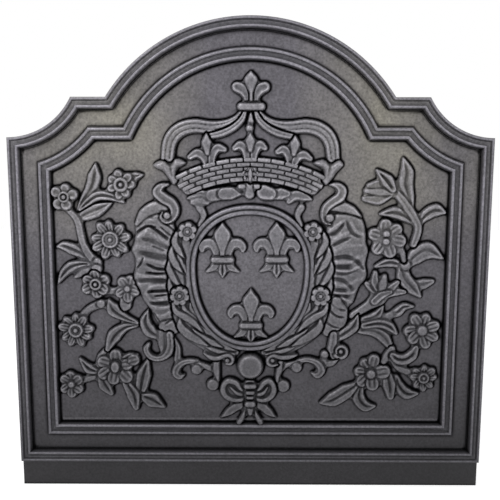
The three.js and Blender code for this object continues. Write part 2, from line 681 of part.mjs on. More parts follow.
const rightFlowerOuter = [
  flower(221, 211, 23.5, 8),
  flower(224, 149, 18, 7),
  stroke([[180, 183], [188, 174], [199, 173], [209, 180], [215, 193]], [9, 14, 15, 14, 7]),
  stroke([[182, 186], [176, 178], [172, 170]], [11, 11, 9], LOW_RELIEF),
  stroke([[184, 176], [191, 163], [211, 155]], [8, 8, 7], LOW_RELIEF),
];

const rightSprayBottom = [
  flower(159, 171, 9, 0),
  flower(148, 167, 7.5, 0),
  flower(143, 156, 7.5, 0),
  flower(147, 145, 9, 0),
  flower(158, 141, 9.5, 0),
  flower(169, 157, 10, 0),
  flower(157, 156, 13, 6, HIGHEST_RELIEF),
  stroke([[141, 141], [124, 130], [108, 120], [91, 114.5]], [6, 20, 20, 2]),
  stroke([[144, 140], [141, 123], [149, 110.5], [163, 110.5]], [9, 16, 15, 3]),
  stroke([[172, 150], [180, 140], [182, 124]], [12, 17, 9]),
  stroke([[186, 153], [192, 138], [202, 128], [217, 128]], [6, 14, 16, 3]),
];

const CARVINGS = {
  round_boss: roundBoss,
  crown_finial: crownFinial,
  crown_fleuron_centre: crownFleuronCentre,
  crown_fleuron_left: crownFleuronSide,
  crown_fleuron_right: mirror(crownFleuronSide),
  crown_fleuron_end_left: crownFleuronEnd,
  crown_fleuron_end_right: mirror(crownFleuronEnd),
  crown_circlet: crownCirclet,
  crown_arch_left: crownOuterArch,
  crown_arch_right: mirror(crownOuterArch),
  crown_inner_arch_left: crownInnerArch,
  crown_inner_arch_right: mirror(crownInnerArch),
  crown_lining_left: crownLiningLeft,
  crown_lining_right: crownLiningRight,
  fleur_de_lis_left: fleurDeLis(-35, 302.5),
  fleur_de_lis_right: fleurDeLis(33.5, 303),
  fleur_de_lis_bottom: fleurDeLis(1, 217.5),
  garland_lower_left: garlandLower,
  garland_lower_right: mirror(garlandLower),
  garland_upper_left: garlandUpper,
  garland_upper_right: mirror(garlandUpper),
  pendant_bow: pendant,
  lower_scroll_left: lowerScrollLeft,
  lower_scroll_right: lowerScrollRight,
  mantle_scroll_left: mantleScrollLeft,
  mantle_scroll_right: mantleScrollRight,
  mantle_left: mantleLeft,
  mantle_right: mantleRight,
  left_flower_middle: leftFlowerMiddle,
  left_flower_pair: leftFlowerPair,
  left_flower_top: leftFlowerTop,
  left_spray_top: leftSprayTop,
  left_spray_middle: leftSprayMiddle,
  left_spray_bottom: leftSprayBottom,
  right_flower_upper: rightFlowerUpper,
  right_flower_open: rightFlowerOpen,
  right_flower_outer: rightFlowerOuter,
  right_leaves_lower: rightLeavesLower,
  right_spray_top: rightSprayTop,
  right_leaves_middle: rightLeavesMiddle,
  right_spray_bottom: rightSprayBottom,
};

// ------------------------------------------------------------------ cutting the carvings

/** True where two solids' boxes come together. */
function boxesMeet(a, b) {
  const [one, two] = [a.boundingBox(), b.boundingBox()];
  return [0, 1].every((axis) => one.min[axis] <= two.max[axis] && two.min[axis] <= one.max[axis]);
}

/** The largest separate body of a solid: slivers that a cut leaves behind are dropped. */
function largestBody(solid) {
  return solid.decompose().reduce((best, body) => (body.volume() > best.volume() ? body : best));
}

function cutCarvings() {
  const above = 2 * HIGHEST_RELIEF; // clear of every carving
  const below = -HIGHEST_RELIEF;
  const room = slab(outlineAt(FIELD_INSET + CARVING_GAP, FIELD_BOTTOM + CARVING_GAP), 0, above);
  const rim = slab(ovalOutline(RIM_WIDTH + CARVING_GAP), below, above)
    .subtract(slab(ovalOutline(-CARVING_GAP), 2 * below, 2 * above));
  const finished = {};
  const cutters = [rim];
  for (const [name, items] of Object.entries(CARVINGS)) {
    const whole = carve(items);
    const near = cutters.filter((cutter) => boxesMeet(cutter, whole));
    const cut = near.reduce((solid, cutter) => solid.subtract(cutter), whole.intersect(room));
    finished[name] = largestBody(cut);
    cutters.push(whole.add(carve(items, CARVING_GAP)));
  }
  return finished;
}

// ------------------------------------------------------------------ assembly

const IRON = { plate: 0x4b4c50, moulding: 0x5e5f64, carving: 0x6a6b70 };

/** A named mesh of a relief solid, laid onto the board: height above it runs along -Y. */
function ironMesh(name, solid, colour) {
  const { vertProperties, triVerts, numProp } = solid.getMesh();
  const position = new Float32Array(vertProperties.length / numProp * 3);
  for (let from = 0, to = 0; from < vertProperties.length; from += numProp, to += 3) {
    const [x, z, height] = vertProperties.subarray(from, from + 3);
    position.set([x, FACE_Y - height, z], to);
  }
  const geometry = new THREE.BufferGeometry();
  geometry.setAttribute('position', new THREE.BufferAttribute(position, 3));
  geometry.setIndex([...triVerts]);
  geometry.computeVertexNormals();
  const material = new THREE.MeshStandardMaterial({ color: colour, roughness: 0.5, metalness: 0.8 });
  const mesh = new THREE.Mesh(geometry, material);
  mesh.name = name;
  return mesh;
}

const fireback = new THREE.Group();
fireback.name = 'fireback';
fireback.add(ironMesh('back_plate', slab(outlineAt(0, 0), -PLATE_THICKNESS, 0), IRON.plate));

for (const [family, profile] of [['outer', OUTER_PROFILE], ['inner', INNER_PROFILE]]) {
  for (const [place, solid] of Object.entries(mouldingLengths(profile))) {
    fireback.add(ironMesh(`${family}_moulding_${place}`, solid, IRON.moulding));
  }
}
for (const [place, solid] of Object.entries(rimQuarters())) {
  fireback.add(ironMesh(`shield_rim_${place}`, solid, IRON.moulding));
}
for (const [name, solid] of Object.entries(cutCarvings())) {
  fireback.add(ironMesh(name, solid, IRON.carving));
}

export default fireback;
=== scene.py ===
# %% [markdown]
# # A cast-iron fireback
# A fireback is a slab of iron that stands behind the fire, keeps the wall from cracking and throws
# the heat back into the room. This one is poured in an open sand bed from a carved wooden pattern,
# so the plate, its mouldings and its ornament are one casting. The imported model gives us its
# construction. Here each piece of it gets the shape and finish that the eye sees.

import json
import math

import bmesh
import bpy
import numpy as np
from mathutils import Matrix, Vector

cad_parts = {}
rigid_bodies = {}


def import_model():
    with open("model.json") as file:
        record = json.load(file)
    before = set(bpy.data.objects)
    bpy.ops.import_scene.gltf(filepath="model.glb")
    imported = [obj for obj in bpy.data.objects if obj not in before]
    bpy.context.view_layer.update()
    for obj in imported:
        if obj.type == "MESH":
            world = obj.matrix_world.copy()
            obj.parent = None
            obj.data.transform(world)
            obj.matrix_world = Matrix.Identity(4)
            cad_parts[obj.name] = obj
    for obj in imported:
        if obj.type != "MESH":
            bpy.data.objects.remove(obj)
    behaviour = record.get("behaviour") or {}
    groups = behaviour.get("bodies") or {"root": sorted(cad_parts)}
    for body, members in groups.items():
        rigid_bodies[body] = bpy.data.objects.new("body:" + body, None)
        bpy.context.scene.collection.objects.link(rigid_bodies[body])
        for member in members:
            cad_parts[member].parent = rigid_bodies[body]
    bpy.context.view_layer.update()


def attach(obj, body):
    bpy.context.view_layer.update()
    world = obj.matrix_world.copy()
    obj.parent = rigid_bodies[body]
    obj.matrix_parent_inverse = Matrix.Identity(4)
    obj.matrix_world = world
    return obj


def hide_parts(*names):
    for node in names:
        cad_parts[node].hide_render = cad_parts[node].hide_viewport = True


for leftover in list(bpy.data.objects):
    bpy.data.objects.remove(leftover)
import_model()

# %% [markdown]
# ## The plate's measures
# Everything is drawn in millimetres, as the pattern maker would, and turned to metres at the last
# moment. `across` is left to right, `up` is height above the hearth, and `rise` is height above
# the plate's face, which looks along -Y. Further down x and z stand for across and up.

# %% Measures of the plate, in millimetres
PLATE_HALF_WIDTH = 300.0
FACE_Y = -1.0  # the ground of the relief
BACK_Y = 11.0
STRIP_TOP = 35.0  # the bare strip at the foot ends here
LEDGE = 504.0  # height of the short ledge on each shoulder
HOLLOW = (300.0, 545.0, 90.0)  # the hollow shoulder: centre across, centre up, radius
ARCH = (0.0, 388.0, 212.0)  # centre across, centre up, radius
BAND_INSET = 16.5  # where the flat band starts, counted inwards from the outline
INNER_INSET = 34.5  # where the inner moulding starts
FIELD_INSET = 53.0  # where the field starts
OUTER_RELIEF, INNER_RELIEF, RIM_RELIEF = 9.0, 7.0, 6.5  # heights of the mouldings
GROUND_RELIEF = 0.3  # the ground and the flat band lie this much in front of the plate


def metres(across, up, rise):
    """Points of the relief in metres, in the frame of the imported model."""
    across, up, rise = np.broadcast_arrays(across, up, rise)
    return np.stack([across, FACE_Y - rise, up], axis=-1) / 1000.0


def ride(piece, slot, *nodes):
    """The iron is all one body, so every piece rides on its root."""
    if nodes:
        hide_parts(*nodes)
    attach(piece, "root")
    return piece


# %% [markdown]
# ## The iron
# New grey iron is blacked with a graphite polish. It is a dull blue-grey with a satin sheen. In the
# hollows it is painted sooty black, partly for the stove black that stays where no brush reaches
# and partly as painted shade, and along the high edges it is painted lighter, partly for rubbing
# and partly as painted highlight. The skin keeps the grain of the moulding sand. Two attributes
# that are worked out from the carving further down say where the metal is rubbed and highlit and
# where soot and painted shade sit, so the material can follow the relief: one for wear and painted
# highlight, one for soot and painted shade. Ambient occlusion darkens the colour in the narrowest
# gaps, as painted shade.

# %% One function adds a node with its settings and links
def linear(hex_colour):
    """An sRGB hex colour as linear red, green, blue, alpha."""
    channels = [int(hex_colour[i:i + 2], 16) / 255 for i in (1, 3, 5)]
    return [c / 12.92 if c <= 0.04045 else ((c + 0.055) / 1.055) ** 2.4 for c in channels] + [1.0]


def add_node(tree, kind, inputs=None, **settings):
    """Adds a node, sets its properties, then sets its inputs or links sockets to them."""
    node = tree.nodes.new(kind)
    for name, value in settings.items():
        setattr(node, name, value)
    for name, value in (inputs or {}).items():
        if isinstance(value, bpy.types.NodeSocket):
            tree.links.new(value, node.inputs[name])
        else:
            node.inputs[name].default_value = value
    return node


# %% Short forms of the nodes that come up most
def maths(tree, operation, first, second=0.0):
    """One sum on two numbers or sockets."""
    return add_node(tree, "ShaderNodeMath", {0: first, 1: second}, operation=operation).outputs[0]


def ranged(tree, value, low, high, to_low=0.0, to_high=1.0, **settings):
    """Brings a value from one range to another, and holds it at both ends."""
    return add_node(tree, "ShaderNodeMapRange", {
        "Value": value, "From Min": low, "From Max": high, "To Min": to_low, "To Max": to_high},
        **settings).outputs[0]


def noise(tree, place, size, detail, roughness=0.5):
    """Noise whose largest waves have about the given size in metres."""
    return add_node(tree, "ShaderNodeTexNoise", {
        "Vector": place, "Scale": 1 / size, "Detail": detail, "Roughness": roughness}).outputs[0]


def colour_mix(tree, share, first, second):
    return add_node(tree, "ShaderNodeMix", {0: share, 6: first, 7: second},
                    data_type="RGBA").outputs[2]


def multiplied(tree, *factors):
    """The product of some numbers or sockets."""
    total = factors[0]
    for factor in factors[1:]:
        total = maths(tree, "MULTIPLY", total, factor)
    return total


# %% Graphite-blacked grey iron, sand cast
SAND_GRAIN = 0.0028  # moulding sand is under 1 mm; drawn at 2.8 mm so that it shows in the render
SWELL = 0.045  # slow waves in the sand bed
BRUSH_PATCH = 0.14  # patches left by the polishing brush


def olive_patches(tree, place, sideways, level, patina):
    """Where the polish has a warm tint: in patches on the shoulders, fading towards the frame."""
    patches = noise(tree, place, BRUSH_PATCH, 3.0, 0.55)
    outward = maths(tree, "ABSOLUTE", sideways)
    return multiplied(
        tree, ranged(tree, patches, 0.3, 0.62, 0.2 * patina, patina),
        ranged(tree, outward, 0.05, 0.15),
        ranged(tree, outward, 0.2, 0.27, 1.0, 0.5), ranged(tree, level, 0.3, 0.45))


def grain_and_painted_falloff(tree, sideways, level, swell, grain, foot, strip_shade):
    """Painted light falloff, darker towards the foot and lighter higher up; also darker on the
    right, and grained by sand.
    """
    return multiplied(
        tree, ranged(tree, grain, 0.3, 0.7, 0.7, 1.3),
        ranged(tree, level, 0.02, 0.4, foot, 1.45, interpolation_type="SMOOTHSTEP"),
        ranged(tree, level, 0.02, 0.1, strip_shade, 1.0), ranged(tree, sideways, 0.09, 0.26, 1.0, 0.83),
        ranged(tree, swell, 0.3, 0.7, 0.91, 1.09))


def sand_cast_iron(name, ground, rubbed_and_highlit, roughness, foot, strip_shade, patina):
    """Satin grey iron, grained by the sand. Black in the hollows, partly soot and partly painted
    shade, and lighter on the high edges, partly rubbing and partly painted highlight.

    `foot` is the tone of the painted shade at the foot of the plate, and the argument after it the
    tone of the painted shade along its lowest 0.1 m; `patina` is the share of olive tint.
    """
    material = bpy.data.materials.new(name)
    material.use_nodes = True
    tree = material.node_tree
    tree.nodes.clear()
    place = add_node(tree, "ShaderNodeTexCoord").outputs["Object"]
    sideways, depth, level = add_node(tree, "ShaderNodeSeparateXYZ", {0: place}).outputs[:3]
    wear_and_highlight = add_node(tree, "ShaderNodeAttribute", attribute_name="wear_and_highlight").outputs["Fac"]
    soot_and_shade = add_node(tree, "ShaderNodeAttribute", attribute_name="soot_and_shade").outputs["Fac"]
    # Ambient occlusion that darkens the colour further down: painted shade in the narrowest gaps.
    occlusion_shade = add_node(tree, "ShaderNodeAmbientOcclusion", {"Distance": 0.006}, samples=8)
    swell = noise(tree, place, SWELL, 1.0)
    grain = noise(tree, place, SAND_GRAIN, 2.0, 0.6)

    tinted = colour_mix(tree, olive_patches(tree, place, sideways, level, patina),
                        linear(ground), linear("#726f67"))
    # Painted highlight, partly real rubbing: worn places and high places are mixed towards the
    # rubbed colour.
    high = maths(tree, "MULTIPLY", ranged(tree, depth, -0.002, -0.0105), 0.12)
    rubbed_and_highlit_share = add_node(tree, "ShaderNodeMath", {
        0: wear_and_highlight, 1: 0.7, 2: high}, operation="MULTIPLY_ADD", use_clamp=True).outputs[0]
    # Painted shade towards the foot of the plate, darker on the right, and the sand grain.
    tone = grain_and_painted_falloff(tree, sideways, level, swell, grain, foot, strip_shade)
    polished = add_node(tree, "ShaderNodeVectorMath", {
        0: colour_mix(tree, rubbed_and_highlit_share, tinted, linear(rubbed_and_highlit)), "Scale": tone},
        operation="SCALE").outputs[0]
    # Soot and painted shade, and the painted shade from ambient occlusion, take the colour to near
    # black.
    free_of_soot_and_shade = add_node(tree, "ShaderNodeMath", {0: 1.0, 1: soot_and_shade}, operation="SUBTRACT",
                     use_clamp=True).outputs[0]
    clear = maths(tree, "MULTIPLY", free_of_soot_and_shade, ranged(tree, occlusion_shade.outputs["AO"], 0.35, 0.8))

    waves = add_node(tree, "ShaderNodeBump", {
        "Height": swell, "Strength": 0.35, "Distance": 0.0016}).outputs[0]
    skin = add_node(tree, "ShaderNodeBump", {
        "Height": grain, "Strength": 0.45, "Distance": 0.0004, "Normal": waves}).outputs[0]
    shader = add_node(tree, "ShaderNodeBsdfPrincipled", {
        "Base Color": colour_mix(tree, clear, linear("#050506"), polished),
        "Roughness": ranged(tree, clear, 0.0, 1.0, 0.85, roughness),
        "Metallic": ranged(tree, clear, 0.0, 1.0, 1.0, 0.45), "Normal": skin})
    add_node(tree, "ShaderNodeOutputMaterial", {"Surface": shader.outputs[0]})
    return material


# %% The three irons: ground, mouldings and relief, each with its own colours, sheen and painted shade at the foot
PLATE_IRON = sand_cast_iron("sand_cast_iron_ground", "#4e4c51", "#747277", 0.48, 0.44, 0.49, 1.0)
MOULDING_IRON = sand_cast_iron("sand_cast_iron_moulding", "#48474b", "#77757c",
                               0.44, 0.74, 0.7, 0.3)
RELIEF_IRON = sand_cast_iron("sand_cast_iron_relief", "#4b4a4e", "#868489", 0.43, 0.44, 0.8, 0.6)
print("irons:", [m.name for m in (PLATE_IRON, MOULDING_IRON, RELIEF_IRON)])

# %% [markdown]
# ## Mouldings run round the frame
# A plasterer runs a moulding by pulling a profile along the wall. The pattern maker's mouldings
# are the same thing: one profile that follows the outline, with mitres at the corners. Two rails,
# the moulding's outer and inner edge, give the path, and Geometry Nodes stretch the profile
# between them at every station. Rails with the same number of stations make true mitres.

# %% Rails: the outline at an inset
def inset_of(x, z):
    """How far inside the outline of the frame a place lies. Outside it is negative."""
    square = np.minimum(PLATE_HALF_WIDTH - np.abs(x), LEDGE - z)
    hollowed = np.minimum(square, np.hypot(np.abs(x) - HOLLOW[0], z - HOLLOW[1]) - HOLLOW[2])
    arched = np.maximum(hollowed, ARCH[2] - np.hypot(x - ARCH[0], z - ARCH[1]))
    return np.minimum(z - STRIP_TOP, arched)


def arc_points(centre_x, centre_z, radius, start, end, count):
    angles = np.linspace(start, end, count)
    return np.c_[centre_x + radius * np.cos(angles), centre_z + radius * np.sin(angles)]


def frame_rail(inset):
    """Closed rail at an inset from the frame's outline. Every rail has the same stations."""
    side, ledge = PLATE_HALF_WIDTH - inset, LEDGE - inset
    hollow_x, hollow_z, hollow_r = HOLLOW[0], HOLLOW[1], HOLLOW[2] + inset
    arch_r = ARCH[2] - inset
    shoulder_z = hollow_z - math.sqrt(hollow_r ** 2 - inset ** 2)
    ledge_x = hollow_x - math.sqrt(hollow_r ** 2 - (hollow_z - ledge) ** 2)
    arch_x = math.sqrt(arch_r ** 2 - (ledge - ARCH[1]) ** 2)
    foot = STRIP_TOP + inset
    hollow_from = math.atan2(shoulder_z - hollow_z, side - hollow_x)
    hollow_to = math.atan2(ledge - hollow_z, ledge_x - hollow_x)
    arch_from = math.atan2(ledge - ARCH[1], arch_x)

    def straight(a, b, count):
        return np.c_[np.linspace(a[0], b[0], count), np.linspace(a[1], b[1], count)]

    right = np.concatenate([
        straight((0.0, foot), (side, foot), 61)[:-1],
        straight((side, foot), (side, shoulder_z), 85)[:-1],
        arc_points(hollow_x, hollow_z, hollow_r, hollow_from, hollow_to - math.tau, 29)[:-1]
        if hollow_to > hollow_from else
        arc_points(hollow_x, hollow_z, hollow_r, hollow_from, hollow_to, 29)[:-1],
        straight((ledge_x, ledge), (arch_x, ledge), 4)[:-1],
        arc_points(ARCH[0], ARCH[1], arch_r, arch_from, math.pi / 2, 45),
    ])
    left = right[1:-1][::-1] * [-1, 1]
    return np.concatenate([right, left])


OVAL_HALF_WIDTH, OVAL_WIDEST, OVAL_ABOVE, OVAL_BELOW, OVAL_FULLNESS = 69.0, 292.0, 67.5, 95.0, 2.15
RIM_WIDTH = 13.0


def oval_rail(offset, count=192):
    """Closed rail at an offset from the inner edge of the oval shield's rim."""
    angles = np.arange(count) * math.tau / count
    bend = 2 / OVAL_FULLNESS
    x = np.sign(np.cos(angles)) * np.abs(np.cos(angles)) ** bend * (OVAL_HALF_WIDTH + offset)
    reach = np.where(np.sin(angles) > 0, OVAL_ABOVE, OVAL_BELOW) + offset
    return np.c_[x, OVAL_WIDEST + np.sign(np.sin(angles)) * np.abs(np.sin(angles)) ** bend * reach]


print("stations on a frame rail:", len(frame_rail(0.0)))


# %% A node tree that runs a profile between two rails
def line_object(name, points):
    """A bare line of points that a node tree reads. It isn't part of the object."""
    mesh = bpy.data.meshes.new(name)
    count = len(points)
    mesh.from_pydata([tuple(p) for p in points], [(i, i + 1) for i in range(count - 1)], [])
    line = bpy.data.objects.new(name, mesh)
    bpy.context.scene.collection.objects.link(line)
    return line


def named_inputs(tree, sockets):
    """Gives a Geometry Nodes tree its named inputs and its geometry output."""
    for name, kind in sockets.items():
        tree.interface.new_socket(name=name, in_out="INPUT", socket_type="NodeSocket" + kind)
    tree.interface.new_socket(name="Geometry", in_out="OUTPUT", socket_type="NodeSocketGeometry")
    return add_node(tree, "NodeGroupInput").outputs


def sampled_position(tree, rail, index):
    """The place of one numbered point of another object."""
    source = add_node(tree, "GeometryNodeObjectInfo", {"Object": rail}).outputs["Geometry"]
    place = add_node(tree, "GeometryNodeInputPosition").outputs[0]
    sample = add_node(tree, "GeometryNodeSampleIndex", {"Geometry": source},
                      data_type="FLOAT_VECTOR", clamp=True)
    value = [s for s in sample.inputs if s.name == "Value" and s.enabled][0]
    tree.links.new(place, value)
    tree.links.new(index, sample.inputs["Index"])
    return [s for s in sample.outputs if s.enabled][0]


def run_moulding_tree():
    tree = bpy.data.node_groups.new("run_moulding_between_rails", "GeometryNodeTree")
    given = named_inputs(tree, {
        "Geometry": "Geometry", "Outer Rail": "Object", "Inner Rail": "Object", "Profile": "Object",
        "Stations": "Int", "Profile Points": "Int", "Relief": "Float", "Iron": "Material"})
    stations, points = given["Stations"], given["Profile Points"]
    sheet = add_node(tree, "GeometryNodeMeshGrid", {
        "Vertices X": maths(tree, "ADD", stations, 1.0),
        "Vertices Y": maths(tree, "ADD", points, 1.0)}).outputs["Mesh"]
    index = add_node(tree, "GeometryNodeInputIndex").outputs[0]
    row = maths(tree, "ADD", points, 1.0)
    station = maths(tree, "MODULO", maths(tree, "FLOOR", maths(tree, "DIVIDE", index, row)),
                    stations)
    point = maths(tree, "MODULO", maths(tree, "MODULO", index, row), points)
    outer = sampled_position(tree, given["Outer Rail"], station)
    inner = sampled_position(tree, given["Inner Rail"], station)
    drawn = add_node(tree, "ShaderNodeSeparateXYZ", {
        0: sampled_position(tree, given["Profile"], point)}).outputs
    between = add_node(tree, "ShaderNodeMix", {
        0: drawn["X"], 4: outer, 5: inner}, data_type="VECTOR", clamp_factor=False)
    lift = maths(tree, "MULTIPLY", drawn["Y"], maths(tree, "MULTIPLY", given["Relief"], -1.0))
    proud = add_node(tree, "ShaderNodeCombineXYZ", {"Y": lift}).outputs[0]
    place = add_node(tree, "ShaderNodeVectorMath", {
        0: between.outputs[1], 1: proud}, operation="ADD").outputs[0]
    run = add_node(tree, "GeometryNodeSetPosition", {
        "Geometry": sheet, "Position": place}).outputs[0]
    sealed = add_node(tree, "GeometryNodeMergeByDistance", {
        "Geometry": run, "Distance": 0.00001}).outputs[0]
    whole = add_node(tree, "GeometryNodeRealizeInstances", {0: sealed}).outputs[0]
    coated = add_node(tree, "GeometryNodeSetMaterial", {
        "Geometry": whole, "Material": given["Iron"]}).outputs[0]
    add_node(tree, "NodeGroupOutput", {"Geometry": coated})
    return tree


RUN_MOULDING = run_moulding_tree()


def made_by_nodes(name, tree, values, material, sharp=40):
    """Runs a tree on an empty mesh and returns what it makes as a plain mesh object."""
    holder = bpy.data.objects.new(name, bpy.data.meshes.new(name + "_blank"))
    bpy.context.scene.collection.objects.link(holder)
    modifier = holder.modifiers.new("nodes", "NODES")
    modifier.node_group = tree
    sockets = {s.name: s.identifier for s in tree.interface.items_tree if s.in_out == "INPUT"}
    for key, value in values.items():
        modifier[sockets[key]] = value
    modifier[sockets["Iron"]] = material
    bpy.context.view_layer.update()
    graph = bpy.context.evaluated_depsgraph_get()
    mesh = bpy.data.meshes.new_from_object(holder.evaluated_get(graph))
    holder.modifiers.remove(modifier)
    holder.data = mesh
    mesh.name = name
    tidy_normals(mesh)
    mesh.shade_smooth()
    mesh.set_sharp_from_angle(angle=math.radians(sharp))
    return holder


def tidy_normals(mesh):
    """Turns every face of a closed mesh outwards."""
    shape = bmesh.new()
    shape.from_mesh(mesh)
    bmesh.ops.recalc_face_normals(shape, faces=shape.faces)
    shape.to_mesh(mesh)
    shape.free()


# %% [markdown]
# ### The profiles
# Both mouldings have two narrow beads, with a fine ridge in the hollow between them, and a steep
# foot where soot gathers. Between the mouldings lies a flat band. The rim of the shield is a pair
# of beads. Each profile is drawn as shares of its width and height, with its first and last points
# buried 1 mm in the plate, so that no gap shows.

# %% Draw the profiles and run them
def bead(start, end, foot_a, foot_b, top, steps=9):
    """Points over a rounded bead between two shares of the width."""
    angles = np.linspace(math.pi, 0, steps)
    middle, half = (start + end) / 2, (end - start) / 2
    low = np.linspace(foot_a, foot_b, steps)
    return [(middle + half * math.cos(a), low[i] + (top - low[i]) * math.sin(a))
            for i, a in enumerate(angles)]


OUTER_PROFILE = [(0.0, -0.11), (0.0, 0.7), *bead(0.01, 0.22, 0.74, 0.74, 0.92), (0.27, 0.68),
                 (0.34, 0.76), (0.4, 0.7), (0.48, 0.66), (0.56, 0.7),
                 *bead(0.59, 0.81, 0.74, 0.7, 1.0), (0.85, 0.4), (0.9, 0.06), (1.0, -0.11)]
INNER_PROFILE = [(0.0, -0.14), (0.05, 0.16), (0.1, 0.42), *bead(0.12, 0.35, 0.5, 0.56, 0.86),
                 (0.4, 0.52), (0.46, 0.5), (0.5, 0.58), (0.55, 0.52), (0.61, 0.56),
                 *bead(0.64, 0.87, 0.7, 0.68, 1.0), (0.91, 0.36), (0.95, 0.04), (1.0, -0.14)]
RIM_PROFILE = [(0.0, -0.15), (0.0, 0.2), *bead(0.02, 0.47, 0.3, 0.66, 1.0),
               (0.5, 0.64), *bead(0.53, 0.97, 0.66, 0.25, 0.94), (1.0, 0.15), (1.0, -0.15)]
BAND_PROFILE = [(0.0, -2.0), (0.0, 1.0), *[(s / 10, 1.0) for s in range(1, 10)], (1.0, 1.0),
                (1.0, -2.0)]


def run(name, rails, profile, relief, material, sharp=40):
    outer, inner = (line_object(f"{name}_rail_{i}", metres(r[:, 0], r[:, 1], 0.0))
                    for i, r in enumerate(rails))
    section = line_object(name + "_section", [(x, y, 0.0) for x, y in profile])
    piece = made_by_nodes(name, RUN_MOULDING, {
        "Outer Rail": outer, "Inner Rail": inner, "Profile": section, "Stations": len(rails[0]),
        "Profile Points": len(profile), "Relief": relief / 1000.0}, material, sharp)
    for helper in (outer, inner, section):
        bpy.data.objects.remove(helper)
    print(name, len(piece.data.polygons), "faces")
    return piece


outer_moulding = run("outer_moulding", (frame_rail(0.0), frame_rail(BAND_INSET)),
                     OUTER_PROFILE, OUTER_RELIEF, MOULDING_IRON, 50)
inner_moulding = run("inner_moulding", (frame_rail(INNER_INSET), frame_rail(FIELD_INSET)),
                     INNER_PROFILE, INNER_RELIEF, MOULDING_IRON, 50)
flat_band = run("flat_band", (frame_rail(BAND_INSET - 0.4), frame_rail(INNER_INSET + 0.4)),
                BAND_PROFILE, GROUND_RELIEF, PLATE_IRON, 50)
shield_rim = run("shield_rim", (oval_rail(0.0), oval_rail(RIM_WIDTH)), RIM_PROFILE, RIM_RELIEF,
                 MOULDING_IRON, 50)

# %% [markdown]
# ## Carving on a bed of heights
# The ornament on such a plate is carved low and rounded, with every form undercut by a sharp
# groove, and after moulding in sand nothing overhangs. So it can be described by one height above
# the board at every place, which is what a grid of numbers does well. A carver works from the back
# to the front: lay a form down, cut round it, cut veins and folds into it. The helpers below do
# the same on the grid, and at the end each ornament is lifted off the grid as a closed mesh.

# %% The bed: a grid of heights in millimetres
STEP = 0.8
LEFT, FOOT, CELLS = -302.0, -2.0, 756
BURIED = -3.0  # the ornament's underside lies inside the plate


def window(points, reach):
    """The part of the bed round some points, and the places of its cells."""
    low = (np.min(points, axis=0) - reach - (LEFT, FOOT)) / STEP
    high = (np.max(points, axis=0) + reach - (LEFT, FOOT)) / STEP + 2
    columns, rows = (slice(*np.clip((int(low[i]), int(high[i])), 0, CELLS)) for i in (0, 1))
    x, z = np.meshgrid(LEFT + STEP * np.arange(columns.start, columns.stop),
                       FOOT + STEP * np.arange(rows.start, rows.stop))
    return (rows, columns), x, z


def blurred(heights, sigma):
    """Gaussian blur of a grid, sigma in millimetres."""
    reach = int(3 * sigma / STEP) + 1
    weights = np.exp(-0.5 * (np.arange(-reach, reach + 1) * STEP / sigma) ** 2)
    weights /= weights.sum()
    for axis in (0, 1):
        wide = np.pad(heights, [(reach, reach) if a == axis else (0, 0) for a in (0, 1)],
                      mode="edge")
        heights = sum(w * np.take(wide, np.arange(CELLS) + i, axis=axis)
                      for i, w in enumerate(weights))
    return heights


print("bed:", CELLS, "x", CELLS, "cells of", STEP, "mm")


# %% Smooth paths through a few points
def smooth_path(points, widths, spacing=0.7, closed=False):
    """Centripetal Catmull-Rom curve: places, half widths and directions at close samples."""
    p = np.asarray(points, float)
    if closed:
        p = np.concatenate([p[-1:], p, p[:2]])
    else:
        p = np.concatenate([[2 * p[0] - p[1]], p, [2 * p[-1] - p[-2]]])
    spans = []
    for a, b, c, d in zip(p, p[1:], p[2:], p[3:]):
        ab, bc, cd = (max(math.dist(m, n) ** 0.5, 1e-4) for m, n in ((a, b), (b, c), (c, d)))
        enter = bc * ((b - a) / ab - (c - a) / (ab + bc) + (c - b) / bc)
        leave = bc * ((c - b) / bc - (d - b) / (bc + cd) + (d - c) / cd)
        count = max(int(math.dist(b, c) / spacing), 3)
        t = (np.arange(count) / count)[:, None]
        spans.append((2 * t ** 3 - 3 * t ** 2 + 1) * b + (t ** 3 - 2 * t ** 2 + t) * enter
                     + (3 * t ** 2 - 2 * t ** 3) * c + (t ** 3 - t ** 2) * leave)
    if not closed:
        spans.append(p[-2:-1])
    places = np.concatenate(spans)
    ways = np.gradient(places, axis=0)
    ways /= np.maximum(np.linalg.norm(ways, axis=1, keepdims=True), 1e-9)
    lengths = np.linspace(0, 1, sum(len(s) for s in spans))
    spots = np.concatenate([np.linspace(i, i + 1, len(s), endpoint=False)
                            for i, s in enumerate(spans)])
    share = np.minimum(spots / max(len(spans) - (0 if closed else 1), 1), 1.0)
    halves = np.interp(share, np.linspace(0, 1, len(widths)), widths) / 2
    return places, np.maximum(halves, 0.6), ways, lengths


def measured(points, widths, reach=6.0, closed=False):
    """Distances from every near cell to a stroke: its edge, its middle, its side and its share."""
    places, halves, ways, lengths = smooth_path(points, widths, closed=closed)
    place, x, z = window(places, halves.max() + reach)
    edge, middle = np.full(x.shape, 1e9), np.full(x.shape, 1e9)
    side, share = np.zeros(x.shape), np.zeros(x.shape)
    for (cx, cz), half, (wx, wz), along in zip(places, halves, ways, lengths):
        dx, dz = x - cx, z - cz
        far = np.hypot(dx, dz)
        edge = np.minimum(edge, far - half)
        closer = far / half < middle
        middle = np.where(closer, far / half, middle)
        side = np.where(closer, np.sign(wx * dz - wz * dx), side)
        share = np.where(closer, along, share)
    return place, edge, middle, side * middle, share


# %% [markdown]
# ### The carver's cuts
# A cut says how the surface of a form runs from its middle to its edge. `q` is 0 in the middle and
# 1 at the edge, `u` is the same with a sign, and `t` runs from the start of a stroke to its end.

# %% Sections of the forms
def step_between(low, high, value):
    share = np.clip((value - low) / (high - low), 0, 1)
    return share * share * (3 - 2 * share)


